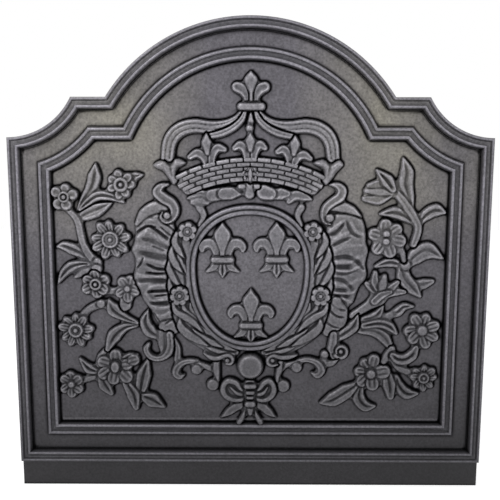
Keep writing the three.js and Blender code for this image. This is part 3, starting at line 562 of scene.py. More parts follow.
def rounded(q, u, t):
    return 1 - 0.42 * np.minimum(q, 1) ** 2.2


def flat(q, u, t):
    return 1 - 0.2 * np.minimum(q, 1) ** 5


def bevelled(q, u, t):
    return 1 - 0.4 * step_between(0.74, 1.02, q)


def cupped(q, u, t):
    return 0.74 + 0.26 * step_between(0.15, 0.68, q) - 0.25 * step_between(0.76, 1.0, q)


def leafy(q, u, t):
    """A leaf with raised borders and a vein that fades towards its tip."""
    vein = np.exp(-(u / 0.14) ** 2) * (1 - step_between(0.72, 0.95, t)) * step_between(0, 0.12, t)
    border = np.exp(-((np.abs(u) - 0.55) / 0.3) ** 2)
    return 0.76 + 0.24 * border - 0.36 * vein - 0.16 * step_between(0.8, 1.0, q)


def veined(q, u, t):
    """A broad leaf: a deep fold along one half, and a fine vein along the other."""
    fade = (1 - step_between(0.7, 0.95, t)) * step_between(0, 0.12, t)
    fold = np.exp(-((u - 0.08) / 0.14) ** 2)
    fine = np.exp(-((u + 0.48) / 0.1) ** 2)
    border = np.exp(-((np.abs(u - 0.05) - 0.62) / 0.28) ** 2)
    veins = (0.34 * fold + 0.13 * fine) * fade
    return 0.76 + 0.24 * border - veins - 0.14 * step_between(0.82, 1.0, q)


def furrowed(q, u, t):
    """A petal: two furrows from its root, and a lip at its end."""
    furrows = np.exp(-((np.abs(u) - 0.34) / 0.17) ** 2) * (1 - step_between(0.35, 0.9, t))
    lip = 0.26 * step_between(-0.5, 0.7, t)
    return 0.7 + lip - 0.24 * furrows - 0.16 * step_between(0.72, 1.0, q)


def reeded(ribs):
    def section(q, u, t):
        spot = np.clip((u + 1) / 2, 0, 0.999) * ribs
        round_off = 1 - 0.2 * np.abs(u) ** 4
        return (0.68 + 0.32 * np.sqrt(np.maximum(1 - (2 * (spot % 1) - 1) ** 2, 0))) * round_off
    return section


# %% Marks that lay forms on the bed, and marks that cut into them
def lay(bed, place, edge, top, wall, gap):
    """Cuts back what lies behind, then lets the form rise from its outline."""
    behind = bed[place]
    if gap:
        cut = np.where(edge > 0, gap * np.exp(-(edge / 1.5) ** 2), gap - 3.0 * edge)
        behind = np.where(behind > -1, np.maximum(behind - cut, BURIED), behind)
    form = np.maximum(np.minimum(top, -edge * wall), BURIED)
    blend = np.maximum(0.8 - np.abs(behind - form), 0) / 0.8
    bed[place] = np.maximum(behind, form) + blend ** 2 * 0.2 * (np.minimum(behind, form) > BURIED)


def stroke(points, widths, rise=6.5, cut=rounded, gap=2.2, closed=False):
    def mark(bed):
        place, edge, q, u, t = measured(points, widths, closed=closed)
        half = min(max(widths), 12) / 2
        lay(bed, place, edge, rise * cut(q, u, t), rise / min(1.8, 0.38 * half), gap)
    return mark


def leaf(points, widths, rise=6.5, gap=2.2):
    return stroke(points, widths, rise, leafy, gap)


def veined_leaf(points, widths, rise=6.4):
    return stroke(points, widths, rise, veined, 2.2)


def petal(x, z, length, width, angle, rise=7.0, cut=cupped, gap=1.6):
    """An oval form: half length and half width, turned by an angle in degrees."""
    def mark(bed):
        place, gx, gz = window([(x, z)], max(length, width) + 6)
        c, s = math.cos(math.radians(angle)), math.sin(math.radians(angle))
        along, across = (gx - x) * c + (gz - z) * s, (gz - z) * c - (gx - x) * s
        q = np.hypot(along / length, across / width)
        edge = (q - 1) * min(length, width)
        lay(bed, place, edge, rise * cut(q, across / width, along / length),
            rise / min(1.8, 0.36 * min(length, width)), gap)
    return mark


def ball(x, z, radius, rise=7.5, gap=2.2):
    return petal(x, z, radius, radius, 0, rise, rounded, gap)


def ring(x, z, radius, tube, rise=8.0, gap=1.6):
    spots = [(x + radius * math.cos(a), z + radius * math.sin(a))
             for a in np.arange(8) * math.pi / 4]
    return stroke(spots, [tube, tube], rise, rounded, gap, closed=True)


def panel(points, rise=5.0, softness=5.0, gap=2.2):
    """A form inside a closed outline, rounded towards its edge."""
    def mark(bed):
        outline = smooth_path(points, [1, 1], closed=True)[0]
        place, x, z = window(outline, 6)
        far = np.full(x.shape, 1e9)
        inside = np.zeros(x.shape, bool)
        for (ax, az), (bx, bz) in zip(outline, np.roll(outline, -1, axis=0)):
            far = np.minimum(far, np.hypot(x - ax, z - az))
            if az != bz:
                crosses = ((az > z) != (bz > z)) & (x < (bx - ax) * (z - az) / (bz - az) + ax)
                inside ^= crosses
        edge = np.where(inside, -far, far)
        top = rise * (0.62 + 0.38 * step_between(0, softness, -edge))
        lay(bed, place, edge, top, rise / 1.9, gap)
    return mark


def press(points, widths, depth):
    """A soft groove where depth is positive, a soft ridge where it is negative."""
    def mark(bed):
        place, edge, q, u, t = measured(points, widths, reach=4.0)
        ends = step_between(0, 0.12, t) * (1 - step_between(0.88, 1, t)) * 0.35 + 0.65
        cut = depth * ends * np.exp(-(q * 1.25) ** 2)
        bed[place] = np.where(bed[place] > 0.6, np.maximum(bed[place] - cut, 0.35), bed[place])
    return mark


def flower(x, z, radius, petals=7, turn=90, ring_at=0.38, boss=0.2, rise=8.0, tube=0.17,
           cut=furrowed):
    """Petals with notches between them, round a ring and a boss."""
    marks = [petal(x, z, 0.62 * radius, 0.62 * radius, 0, 0.5 * rise, flat)]
    wide = radius * min(0.68 * math.tan(math.pi / petals), 0.41)
    for k in range(petals):
        angle = turn + 360 * (k + 0.12 * math.sin(3.7 * k + x)) / petals
        reach = radius * (0.58 + 0.04 * math.sin(2.3 * k + z))
        c, s = math.cos(math.radians(angle)), math.sin(math.radians(angle))
        marks.append(petal(x + reach * c, z + reach * s, 0.42 * radius,
                           wide * (1 + 0.06 * math.sin(5.1 * k + z)),
                           angle, (0.86 + 0.05 * math.sin(4.3 * k)) * rise, cut, 1.1))
    if ring_at:
        marks.append(petal(x, z, ring_at * radius, ring_at * radius, 0, 0.78 * rise, flat, 0.8))
        marks.append(ring(x, z, ring_at * radius, max(2 * tube * radius, 2.4), 0.9 * rise, 0.4))
    marks.append(ball(x, z, boss * radius, rise, 0.5))
    return marks


def rosette(x, z, radius, petals, turn):
    """A small rose: a lump with a scalloped edge, and a shallow groove round its boss."""
    def round_at(reach, degrees):
        a = math.radians(degrees)
        return x + reach * radius * math.cos(a), z + reach * radius * math.sin(a)

    marks = [petal(x, z, 0.8 * radius, 0.8 * radius, 0, 7.8, flat, 2.2)]
    for k in range(petals):
        a = turn + 360 * k / petals
        marks.append(petal(*round_at(0.66, a), 0.38 * radius, 0.46 * radius, a, 8.6, bevelled, 0.0))
    for k in range(petals):
        a = turn + 360 * (k + 0.5) / petals
        marks.append(press([round_at(0.72, a), round_at(1.05, a)], [2.0, 3.2], 2.2))
    return marks + [press([round_at(0.44, a) for a in range(0, 361, 40)], [2.4, 2.4], 2.0),
                    ball(x, z, 0.3 * radius, 9.4, 0.3)]


def cluster(x, z, around, rise=7.5):
    """Petals of a ball flower, by place and radius. They point away from the middle."""
    return [petal(px, pz, 1.06 * r, 0.97 * r, math.degrees(math.atan2(pz - z, px - x)), rise,
                  furrowed, 1.2)
            for px, pz, r in around]


def on_side(side, points):
    """Points drawn for the right, on the right (1) or on the left (-1)."""
    return [(side * x, z) for x, z in points]


CARVED = {}


def carve(node, *marks, web=3.6):
    """Works through the marks of one ornament, then lets its narrowest gaps run full of iron."""
    bed = np.full((CELLS, CELLS), BURIED)
    for mark in marks:
        for cut in mark if isinstance(mark, list) else [mark]:
            cut(bed)
    body = blurred(np.where(bed > 0, 1.0, 0.0), 2.0)
    joined = blurred(np.where(body > 0.35, 1.0, 0.0), 2.0) > 0.66
    filled = np.minimum(1.5 * blurred(np.maximum(bed, 0), 2.0), web)
    CARVED[node] = np.where(joined, np.maximum(bed, filled), bed)


print("the carver's tools are ready")

# %% [markdown]
# ## The coat of arms
# Three fleurs-de-lis stand on the oval shield: the old royal lily, with a diamond in the middle, a
# curling petal on each side and a band round the waist. The side petals are puffed, with a bright
# rim, so they are cut hollow.

# %% Three fleurs-de-lis
def fleur_de_lis(node, x, z):
    def at(points, side=1):
        return [(x + side * dx, z + dz) for dx, dz in points]

    marks = []
    for side in (-1, 1):
        marks += [
            stroke(at([(-6, -3), (-10, -9), (-21.5, -16)], side), [10, 11, 3], 4.8, cupped, 1.3),
            stroke(at([(-7, 4), (-8.5, 13), (-13.5, 20.5), (-20.5, 21), (-25.5, 16.5), (-25.5, 12)],
                      side),
                   [9, 12, 14, 13.5, 11, 7], 5.6, cupped, 1.5),
        ]
    carve(node, marks,
          stroke(at([(0, -3), (0, -14), (0, -24)]), [8, 12.5, 2], 5.4, leafy, 1.4),
          stroke(at([(0, 3), (0, 12), (0, 21), (0, 31), (0, 39), (0, 48)]), [8, 9, 15, 22.5, 12, 2],
                 6.2, bevelled, 1.6),
          stroke(at([(-11, 0), (11, 0)]), [9.5, 9.5], 7.0, rounded, 2.2), web=2.2)


fleur_de_lis("fleur_de_lis_left", -35, 302.5)
fleur_de_lis("fleur_de_lis_right", 33.5, 303)
fleur_de_lis("fleur_de_lis_bottom", 1, 217.5)

# %% [markdown]
# ## The closed crown
# A royal crown has arches that meet under a lily, fleurons along its circlet, and a circlet of
# little bars in rows. The arches are reeded bands, three ribs wide. The circlet's bars repeat, so
# Geometry Nodes lay them further down, like bricks, on the low bed that is carved here.

# %% Crown: finial, arches and fleurons
carve("crown_finial",
      stroke([(1.2, 498), (1.2, 512)], [19, 15], 5.2, flat),
      stroke([(-5, 497), (-5.5, 505), (-10.5, 513.5), (-16.5, 516)], [6, 9, 15, 14], 7.6, cupped,
             1.2),
      stroke([(7, 497), (7.5, 505), (12, 513.5), (17.5, 516)], [6, 9, 15, 14], 7.6, cupped, 1.2),
      stroke([(1, 497), (1, 509), (0.5, 523.5), (0.5, 535)], [6, 6.5, 18, 2], 8.8, rounded, 1.2),
      stroke([(-11.5, 492.5), (13.5, 492.5)], [11, 11], 9.6, rounded, 2.8))

for side, name in ((-1, "left"), (1, "right")):
    outer_arch = on_side(side, [(9, 489), (14, 480.5), (24, 473), (36, 468.8), (50, 467.5),
                                (68, 469.2), (82, 466.5), (93.5, 459), (100, 447.5), (102.5, 430)])
    inner_arch = on_side(side, [(52, 456.5), (35, 460.5), (20, 468), (10, 478), (6, 488)])
    carve(f"crown_arch_{name}",
          stroke(outer_arch, [6, 9, 12, 15, 17, 18, 18.5, 18.5, 18, 17], 8.2, reeded(3)))
    carve(f"crown_inner_arch_{name}",
          stroke(inner_arch, [9, 10.5, 10, 9, 6], 7.2, reeded(2)))


def fleuron(left, right, heart):
    """A lily on the circlet: two curling petals and a pointed heart on a stem."""
    (low_x, low_z), neck = left[0], heart[0]
    return [stroke([((low_x + right[0][0]) / 2, low_z - 2), neck], [15, 15], 5.6, flat),
            stroke(left, [10, 12, 12, 8], 7.4, cupped, 1.2),
            stroke(right, [10, 12, 12, 8], 7.4, cupped, 1.2),
            stroke(heart, [8, 14, 2], 8.6, rounded, 1.2)]


carve("crown_fleuron_centre",
      stroke([(0, 470), (0, 487)], [5, 4], 5.5),
      stroke([(0.5, 475), (0.5, 480), (0.5, 487)], [9, 7, 3], 7.0), ball(-1, 466.5, 5.4, 7.2),
      fleuron([(-4, 430), (-6, 440), (-12.5, 446), (-19.5, 442)],
              [(4, 430), (6, 440), (12, 446.5), (18, 442.5)],
              [(0, 440), (0, 450.5), (0, 462)]))
carve("crown_fleuron_left",
      fleuron([(-54, 424), (-58, 432), (-65.5, 436), (-75, 431)],
              [(-48, 425), (-46.5, 435), (-40, 442.5), (-32, 440.5)],
              [(-53, 436), (-54, 449), (-54, 462)]))
carve("crown_fleuron_right",
      fleuron([(49, 425), (47, 434), (41, 440.5), (33.5, 437.5)],
              [(54.5, 424), (58.5, 431), (66, 434), (74, 429.5)],
              [(53.5, 435), (55, 447), (55, 459)]))
carve("crown_fleuron_end_left",
      panel([(-121, 421.5), (-114, 426.5), (-106, 428), (-99.5, 423.5), (-94, 429.5), (-87, 429.5),
             (-79, 424), (-84, 420), (-90, 417), (-92, 409), (-89, 402), (-95, 396.5), (-103, 406),
             (-109, 414), (-116, 416.5)], 7.4),
      press([(-99.5, 428), (-99, 419), (-97, 408)], [3, 3, 2], 1.6),
      press([(-116, 421), (-108, 421), (-102, 413)], [4, 5, 4], -0.8),
      press([(-84, 424), (-92, 422), (-96, 413)], [4, 5, 4], -0.8))
carve("crown_fleuron_end_right",
      panel([(116, 421.5), (111, 428.5), (106, 428), (99.5, 423.5), (94, 428), (86, 428.5),
             (77, 424), (83, 420), (90, 416), (91, 409), (88, 403), (94, 396.5), (103, 406),
             (107, 412), (112, 417.5)], 7.4),
      press([(99.5, 428), (98.5, 419), (96, 408)], [3, 3, 2], 1.6),
      press([(113, 422), (107, 422), (101, 413)], [4, 5, 4], -0.8),
      press([(82, 423.5), (91, 422), (96, 413)], [4, 5, 4], -0.8))

# %% Crown: bed of the circlet, its leaf lining and the shell in the middle
carve("crown_circlet",
      panel([(-96, 405), (-72, 417.5), (-40, 427), (0, 431), (40, 427), (72, 417.5), (96, 405),
             (88, 393), (79, 384), (58, 392), (30, 399), (0, 401.5), (-30, 399), (-58, 392),
             (-79, 384), (-88, 393)], 4.7, 2.0),
      stroke([(0, 402), (0, 408)], [8, 9], 6.5, flat),
      [petal(6.2 * math.cos(a), 410.5 + 5.5 * math.sin(a), 5.2, 4.0, math.degrees(a), 10.4,
             furrowed, 0.8)
       for a in np.radians([10, 52, 128, 170, 222, 318])],
      stroke([(0, 403), (0, 411), (0, 420)], [6, 9, 2], 10.4, rounded, 1.0))
carve("crown_lining_left",
      stroke([(-64, 346), (-58, 359), (-64, 369)], [6, 8, 10], 4.6),
      stroke([(-79, 379.5), (-70, 384), (-60, 386), (-48, 379)], [3, 8, 11, 5], 5.6, leafy),
      stroke([(-72, 375), (-62, 377), (-54, 375)], [8, 11, 8], 5.2),
      stroke([(-48, 384), (-36, 386)], [17, 17], 5.8, flat),
      stroke([(-33, 386), (-24, 386.5), (-10, 385)], [17, 17, 2], 6.2, bevelled),
      stroke([(-12.5, 395), (9.5, 395)], [8, 8], 6.6),
      stroke([(-1, 398), (-1, 389), (-1, 385.5)], [10, 12, 13.5], 7.2, rounded, 0.5))
carve("crown_lining_right",
      stroke([(64, 346), (59, 359), (64, 369)], [6, 8, 10], 4.6),
      stroke([(76, 379), (66, 383), (56, 384), (48, 376)], [4, 13, 14, 7], 5.8, cupped),
      stroke([(46, 386), (38, 386), (31, 384)], [10, 16, 12], 5.8, cupped),
      stroke([(25, 386), (17, 388)], [17, 20], 6.4, cupped))
print("carved:", len(CARVED))

# %% [markdown]
# ## Garlands beside the shield
# A rope of long leaves hangs down each side of the shield, in two lengths: from one rosette to the
# next, and from there towards the boss under the shield. Each leaf laps over the next, so they're
# laid down one by one, the hindmost first, over a low core that closes the gaps between them.

# %% Strands lapped along a rope
def strands_of(side, strands):
    """Long leaves, each given as its path, its widths and its rise, on one side of the shield."""
    return [stroke(on_side(side, path), [1.16 * w for w in widths], rise, rounded, 1.5)
            for path, widths, rise in strands]


UPPER_STRANDS = (
    ([(81, 292), (79, 281), (78, 270), (83, 261)], [5, 7, 8, 4], 6.0),
    ([(80, 330), (80, 319), (78, 307), (79, 294)], [12, 12, 8, 3], 6.0),
    ([(90, 317), (89, 304), (84, 294), (80, 284)], [5, 9, 8, 3], 6.5),
    ([(102, 281), (101.5, 269), (99, 257), (101, 249)], [4, 8, 8, 4], 6.4),
    ([(101, 304), (102, 291), (97, 279), (88, 267)], [4, 9, 9, 4], 6.9),
    ([(97, 322), (99, 309), (94, 297), (85, 286)], [4, 9, 10, 3], 7.2),
    ([(92, 336), (95, 326), (90, 315), (83, 305)], [6, 9, 9, 3], 7.5))
LOWER_STRANDS = (
    ([(76, 247), (74, 236), (66, 225), (56, 215)], [4, 8, 8, 3], 6.0),
    ([(86, 246), (82, 235), (72, 226), (62, 216)], [5, 9, 9, 3], 6.4),
    ([(66, 220), (56, 209), (44, 200), (32, 193)], [3, 8, 7, 3], 6.2),
    ([(60, 192), (48, 187), (34, 182), (20, 180)], [4, 8, 8, 4], 6.6),
    ([(54, 203), (43, 196), (30, 189), (18, 185)], [3, 7, 8, 3], 6.6),
    ([(73, 213), (62, 203), (48, 195), (35, 189)], [4, 9, 9, 3], 6.9),
    ([(89, 228), (89, 217), (80, 207), (66, 198), (53, 191)], [4, 10, 12, 10, 3], 7.0),
    ([(98, 247), (95, 237), (83, 229), (71, 220.5), (60, 209)], [5, 8, 10, 9, 3], 7.4))
for side, name in ((-1, "left"), (1, "right")):
    if side < 0:
        curl = [(-59, 181), (-50, 175.5), (-42, 174.5), (-35, 177), (-27, 178), (-22.5, 173),
                (-25, 167.5), (-31, 167)]
    else:
        curl = [(60, 179), (50, 176.5), (40, 176), (30, 177.5), (24, 173.5), (23.5, 168), (29, 165),
                (36, 166.5)]
    upper = on_side(side, [(82, 337), (89, 316), (91, 296), (89, 266)])
    lower = on_side(side, [(90, 254), (88, 234), (75, 211), (52, 193), (18, 182)])
    carve(f"garland_upper_{name}",
          stroke(upper, [17, 24, 25, 22], 4.9), strands_of(side, UPPER_STRANDS),
          press(on_side(side, [(84.5, 305), (83, 297)]), [2.6, 2.6], 2.6),
          rosette(side * 78.5, 338.5, 12.6, 6, 80), web=2.4)
    carve(f"garland_lower_{name}",
          stroke(lower, [16, 24, 27, 21, 9], 4.9), strands_of(side, LOWER_STRANDS),
          press(on_side(side, [(85, 221), (74, 211)]), [2.8, 2.8], 3.0),
          stroke(curl, [4, 8, 8, 7.5, 8, 7, 6.5, 4], 6.8), ball(side * 29, 171.5, 4.2, 6.0, 1.2),
          rosette(side * 89.3, 256.5, 13.2, 7, 90), web=2.6)
carve("round_boss", ball(0.5, 164, 17.6, 6.4), petal(0.5, 164, 16.8, 16.8, 0, 10.0, bevelled, 0.0))
print("carved:", len(CARVED))

# %% [markdown]
# ## Pendant and scrolls under the shield
# A bow with four ribbon tails hangs below the round boss, and a small scroll with a ball at each
# end branches off on either side. The left and the right scroll differ a little, as carved.

# %% Pendant with bow, and the scrolls at its sides
bow = []
for side in (1, -1):
    loops = [[(7, 131), (13, 135), (18, 141.5), (25, 144), (30, 139), (31, 131), (27, 123),
              (19, 118.5), (8, 119.5)],
             [(9, 125), (17, 128), (23, 136)],
             [(8, 113), (15, 111), (24, 103), (35, 94)], [(6, 103), (10, 95), (14, 87.5)]]
    if side < 0:
        loops = [[(-x * (1.12 if x > 20 else 1), z) for x, z in points] for points in loops]
    bow += [stroke(loops[2], [8, 13, 12, 2], 6.4, bevelled, 1.8), stroke(loops[3], [5, 8, 9], 6.0),
            stroke(on_side(side, [(10, 125), (19, 128), (27, 135)]), [12, 14, 10], 3.6, flat),
            stroke(loops[1], [8, 7, 4], 5.8),
            stroke(loops[0], [6, 7.5, 9, 9.5, 9, 9.5, 9, 8, 7], 7.0, rounded, 1.8)]
carve("pendant_bow", bow,
      stroke([(0, 139), (0, 112), (0, 101)], [17, 15, 10], 6.0, flat),
      stroke([(0.5, 107), (0.5, 101)], [11, 8], 7.6, rounded, 1.4),
      stroke([(-2.5, 122), (2.5, 122)], [7, 7], 7.8, rounded, 1.4),
      stroke([(-3, 129), (3.5, 129)], [7.5, 7.5], 8.2, rounded, 1.4),
      stroke([(-5, 137.5), (5.5, 137.5)], [8.5, 8.5], 8.8, rounded, 1.6),
      stroke([(-3, 113.5), (3.5, 113.5)], [10.5, 10.5], 9.4, rounded, 1.6), web=2.6)
carve("lower_scroll_left",
      stroke([(-97, 202), (-93, 188), (-93.5, 172)], [2, 8, 10], 5.0, leafy),
      stroke([(-68, 170), (-78, 170.5), (-87, 168), (-94, 161.5), (-96, 154), (-91, 149.5),
              (-85, 152)],
             [7, 8, 9, 11, 11, 9, 4], 6.6, reeded(2)),
      stroke([(-44, 160), (-51, 161), (-58, 164.5), (-67, 166), (-73, 161)], [9, 9, 8, 7, 5], 6.4),
      ball(-69, 159.5, 7.6, 6.8, 1.4),
      stroke([(-43, 172), (-43.5, 160), (-42, 148), (-43, 139)], [9, 11, 7, 7], 7.2),
      ball(-48, 139, 8.6, 7.6, 1.4))
carve("lower_scroll_right",
      stroke([(95, 179), (97, 168), (105, 168), (114, 173.5)], [6, 9, 9, 3], 5.4),
      stroke([(62, 171), (72, 173), (82, 171), (89.5, 165.5), (92, 158), (87, 152), (79.5, 155)],
             [7, 8, 9, 11, 12, 10, 4], 6.6, reeded(2)),
      stroke([(39, 160), (46, 165), (54, 168), (61, 167), (65, 162)], [9, 8, 7, 7, 5], 6.4),
      ball(60, 162.5, 7.6, 6.8, 1.4),
      stroke([(39, 170), (38, 160), (35.5, 149), (37, 139)], [9, 10, 7, 7], 7.2),
      ball(43, 137.5, 8.8, 7.6, 1.4), ball(96, 180, 6.0, 6.6))
carve("mantle_scroll_left",
      leaf([(-118, 203), (-129, 211), (-134, 223), (-129.5, 239)], [10, 18, 15, 2], 6.4),
      stroke([(-114, 207), (-114, 195), (-112, 184)], [10, 10, 8], 5.2),
      stroke([(-103, 206), (-102, 193), (-105, 182), (-113, 175), (-122, 174), (-130, 178.5),
              (-133.5, 187), (-130, 193)], [11, 12, 12, 9, 9, 9, 9, 6], 7.0, reeded(2)))
carve("mantle_scroll_right",
      leaf([(106, 199), (120, 207), (132, 217), (138, 234)], [8, 15, 16, 2], 6.4),
      stroke([(107, 206), (106, 195), (104, 186), (108, 176)], [12, 13, 11, 8], 6.4, reeded(2)),
      stroke([(116.5 + r * math.cos(math.radians(a)), 184 + r * math.sin(math.radians(a)))
              for r, a in zip(np.linspace(9, 5.5, 9), np.linspace(215, 560, 9))], [6, 6, 5], 7.2),
      ball(116.5, 184, 4.0, 7.6, 1.6))
print("carved:", len(CARVED))

# %% [markdown]
# ## The mantling
# Heavy cloth hangs from a scroll on each side, gathered into a rope of folds. The cloth is one
# panel, and the folds are pressed into it: soft ridges first, then the deep valleys between them.

# %% Mantling on the left
carve("mantle_left",
      panel([(-128, 366), (-140, 356), (-144, 347), (-145, 332), (-147, 324), (-150, 315),
             (-146, 305), (-146, 292), (-148, 280), (-140, 261), (-136, 250), (-130, 242),
             (-124, 232), (-119, 222), (-109, 214), (-92, 226), (-98, 242), (-102, 262),
             (-102, 282), (-102, 300), (-98, 322), (-94, 343), (-104, 358)], 6.2),
      [press(points, widths, -2.0) for points, widths in (
          ([(-140, 350), (-130, 354), (-120, 353)], [6, 7, 5]),
          ([(-144, 331), (-135, 334), (-129, 339)], [6, 7, 5]),
          ([(-126, 337), (-114, 330), (-102, 323)], [6, 7, 5]),
          ([(-146, 318), (-138, 320), (-126, 318)], [8, 10, 8]),
          ([(-142, 303), (-126, 302), (-105, 297)], [7, 8, 6]),
          ([(-143, 283), (-124, 281), (-105, 281)], [7, 8, 6]),
          ([(-103, 270), (-122, 269), (-132, 262), (-124, 250.5), (-104, 252)], [6, 6, 6, 5, 5]),
          ([(-122, 241), (-114, 240), (-101, 243)], [6, 7, 6]),
          ([(-121, 231), (-112, 230), (-100, 236)], [6, 7, 6]))],
      [press(points, widths, depth) for points, widths, depth in (
          ([(-146, 334), (-137, 341), (-128, 345.5), (-119, 344)], [3, 4, 3, 3], 4.2),
          ([(-125, 345), (-115, 338.5), (-104, 330)], [3, 4, 4], 4.2),
          ([(-108, 350), (-99, 343), (-94, 338)], [2.6, 2.6, 2.4], 3.1),
          ([(-112, 344), (-103, 336), (-97, 332)], [2.6, 3, 2.6], 2.6),
          ([(-134, 329), (-124, 327), (-112, 320), (-100, 317)], [5, 7, 7, 5], 3),
          ([(-122, 320), (-108, 314)], [2.8, 2.8], 2.3),
          ([(-138, 312), (-120, 308), (-102, 305)], [6, 9, 8], 3.4),
          ([(-143, 292), (-138, 298), (-135, 305)], [2.8, 3, 2.6], 3.1),
          ([(-130, 297), (-118, 291.5), (-103, 290)], [3, 4.4, 4.4], 4.3),
          ([(-131, 286.5), (-118, 285), (-105, 286)], [2.8, 3.2, 3], 3.4),
          ([(-145, 275), (-122, 276.5), (-103, 275.5)], [6, 8, 6], 3.2),
          ([(-128, 262), (-103, 263)], [4, 5], 4.4), ([(-121, 256), (-105, 258)], [2.6, 2.8], 2.9),
          ([(-126, 247), (-103, 247)], [5, 7], 3.4),
          ([(-122, 233), (-116, 223), (-111, 213)], [2.8, 3, 2.6], 3.4))],
      stroke([(-109, 216), (-101, 215.5), (-94, 217)], [17, 22, 18], 6.8, rounded, 1.8),
      press([(-108, 220), (-101, 225), (-95, 226)], [2.6, 3, 2.6], 2.3),
      stroke([(-108, 371), (-122, 367.5), (-133, 360.5), (-142, 348)], [18, 17, 15, 7], 7.0,
             rounded, 1.6),
      stroke([(-102, 397.5), (-111, 395), (-115.5, 388), (-108, 380.5), (-98, 374), (-94, 365),
              (-97.5, 356), (-105, 351.5), (-111.5, 356), (-109.5, 363)],
             [4, 9, 14, 15, 14, 13, 11, 8, 6, 4], 7.8, cupped, 1.8),
      ball(-104, 358.5, 5.6, 8.0, 1.4), web=1.8)

# %% Mantling on the right
carve("mantle_right",
      panel([(126, 364), (139, 357), (145, 342), (146, 332), (146, 326), (149, 316), (147, 304),
             (146, 296), (148, 285), (146, 277), (139, 269), (135, 258), (132, 249), (126, 242),
             (121, 230), (108, 226), (101, 248), (103, 262), (103, 282), (103, 303), (98, 325),
             (95, 343), (104, 360)],
            6.2),
      [press(points, widths, -2.0) for points, widths in (
          ([(96, 338), (106, 344), (116, 352)], [6, 7, 5]),
          ([(103, 327), (114, 333), (124, 339)], [6, 7, 5]),
          ([(143, 335), (134, 338), (126, 350)], [6, 7, 5]),
          ([(104, 313), (124, 321), (140, 322)], [6, 8, 6]),
          ([(106, 300), (125, 301), (140, 308)], [7, 9, 6]),
          ([(140, 296), (128, 289.5), (108, 290)], [6, 6, 5]),
          ([(104, 273), (122, 271), (140, 280)], [6, 8, 6]),
          ([(106, 261), (122, 260), (132, 262)], [5, 6, 5]),
          ([(104, 253), (114, 254), (130, 248)], [6, 7, 5]))],
      [press(points, widths, depth) for points, widths, depth in (
          ([(97, 334), (108, 338), (117, 349)], [3.9, 5.9, 3.9], 3),
          ([(102, 320), (113, 326), (125, 331)], [3.9, 5.9, 3.9], 2.9),
          ([(121, 352), (124, 343), (128, 337), (138, 332)], [3.9, 5.2, 5.2, 3.9], 2.6),
          ([(103, 305), (122, 307), (136, 300), (143, 292)], [5.2, 6.5, 6.5, 3.9], 3.5),
          ([(107, 294), (127, 294.5)], [6.5, 7.2], 3.3),
          ([(106, 286), (120, 285), (135, 290)], [3.9, 4.4, 3.9], 2.3),
          ([(103, 279), (117, 277), (130, 266)], [5.2, 5.9, 5.2], 3),
          ([(106, 265), (122, 264)], [4.4, 4.4], 2.4),
          ([(103, 258), (125, 256.5)], [4.7, 5.7], 2.9),
          ([(102, 252), (108, 249), (115, 243), (120, 230)], [3.9, 5.2, 5.2, 3.9], 2.9))],
      stroke([(110, 249), (113, 236), (109, 222), (100, 212)], [16, 24, 28, 18], 6.8, rounded),
      press([(103, 246), (112, 240), (121, 238)], [3, 4, 3], 2.4),
      press([(100, 239), (110, 231), (119, 229)], [3, 3.4, 2.6], 3.2),
      press([(92, 226), (106, 217), (113, 215)], [3, 3, 2.6], 2.8),
      press([(101, 246), (113, 239)], [4, 4], -1.0),
      stroke([(103, 370), (115, 369.5), (127, 365.5), (139, 357.5)], [12, 15, 12, 3], 7.2, rounded,
             1.8),
      stroke([(98, 397.5), (108, 396.5), (114, 390.5), (112, 382.5), (103, 376), (95, 369),
              (92, 360), (94, 351.5), (100, 348.5)],
             [3, 9, 13, 14, 13, 12, 10, 8, 5], 7.8, cupped, 1.8),
      ball(99.5, 356, 6.4, 7.8, 1.4), web=1.8)
print("carved:", len(CARVED))

# %% [markdown]
# ## Flower sprays in the field
# On both sides branches of open flowers, ball flowers and long curling leaves fill the field. No
# two are alike, so each is listed one by one: places in millimetres, then widths along the stroke.

# %% Sprays on the left
carve("left_flower_top",
      leaf([(-215, 366), (-208, 378), (-198, 393), (-194, 406), (-192, 423)], [6, 10, 16, 18, 3]),
      leaf([(-213, 366), (-203, 375), (-190, 383), (-175, 382.5), (-158, 375)], [6, 11, 14, 12, 4],
           6.6),
      leaf([(-150, 401), (-144, 407), (-134, 409)], [10, 12, 4], 6.0),
      flower(-161, 397, 19.3, 7, 100, 0.36, 0.2, 8.6, cut=cupped))
carve("left_spray_top",
      veined_leaf([(-214, 355), (-205, 360), (-194, 364.5), (-184, 369), (-173, 374.5)],
                  [6, 17, 19, 13, 3]),
      stroke([(-202, 290), (-213, 285), (-222, 280)], [8, 10, 5], 5.2),
      leaf([(-199, 304), (-211, 310), (-224, 316), (-235, 320), (-243, 319)], [8, 13, 16, 12, 4]),
      leaf([(-202, 297), (-214, 297), (-227, 293), (-236, 285), (-243.5, 272)], [6, 10, 15, 12, 3]),
      stroke([(-228, 366), (-217, 353), (-213, 335), (-210, 322), (-204, 310), (-196, 300)],
             [8, 10, 10, 10, 12, 11], 6.0, bevelled),
      ball(-193, 299.5, 6.4, 7.0), ball(-194.5, 290.5, 7.6, 7.4, 1.4),
      flower(-232.5, 381.5, 18.5, 5, 80, 0.3, 0.22, 8.4, 0.13, cupped))
carve("left_flower_middle", flower(-176, 328, 26.6, 9, 11, 0.34, 0.15, 8.6, 0.085), web=2.6)
carve("left_flower_pair",
      stroke([(-186, 262), (-170, 262)], [10, 10], 4.6),
      stroke([(-158, 252), (-159, 244), (-160, 239)], [15, 16, 8], 6.0),
      flower(-156, 265, 18.2, 5, 60, 0.0, 0.28, 7.4),
      flower(-196, 271, 19.6, 6, 32, 0.3, 0.2, 8.6, 0.13), web=2.6)
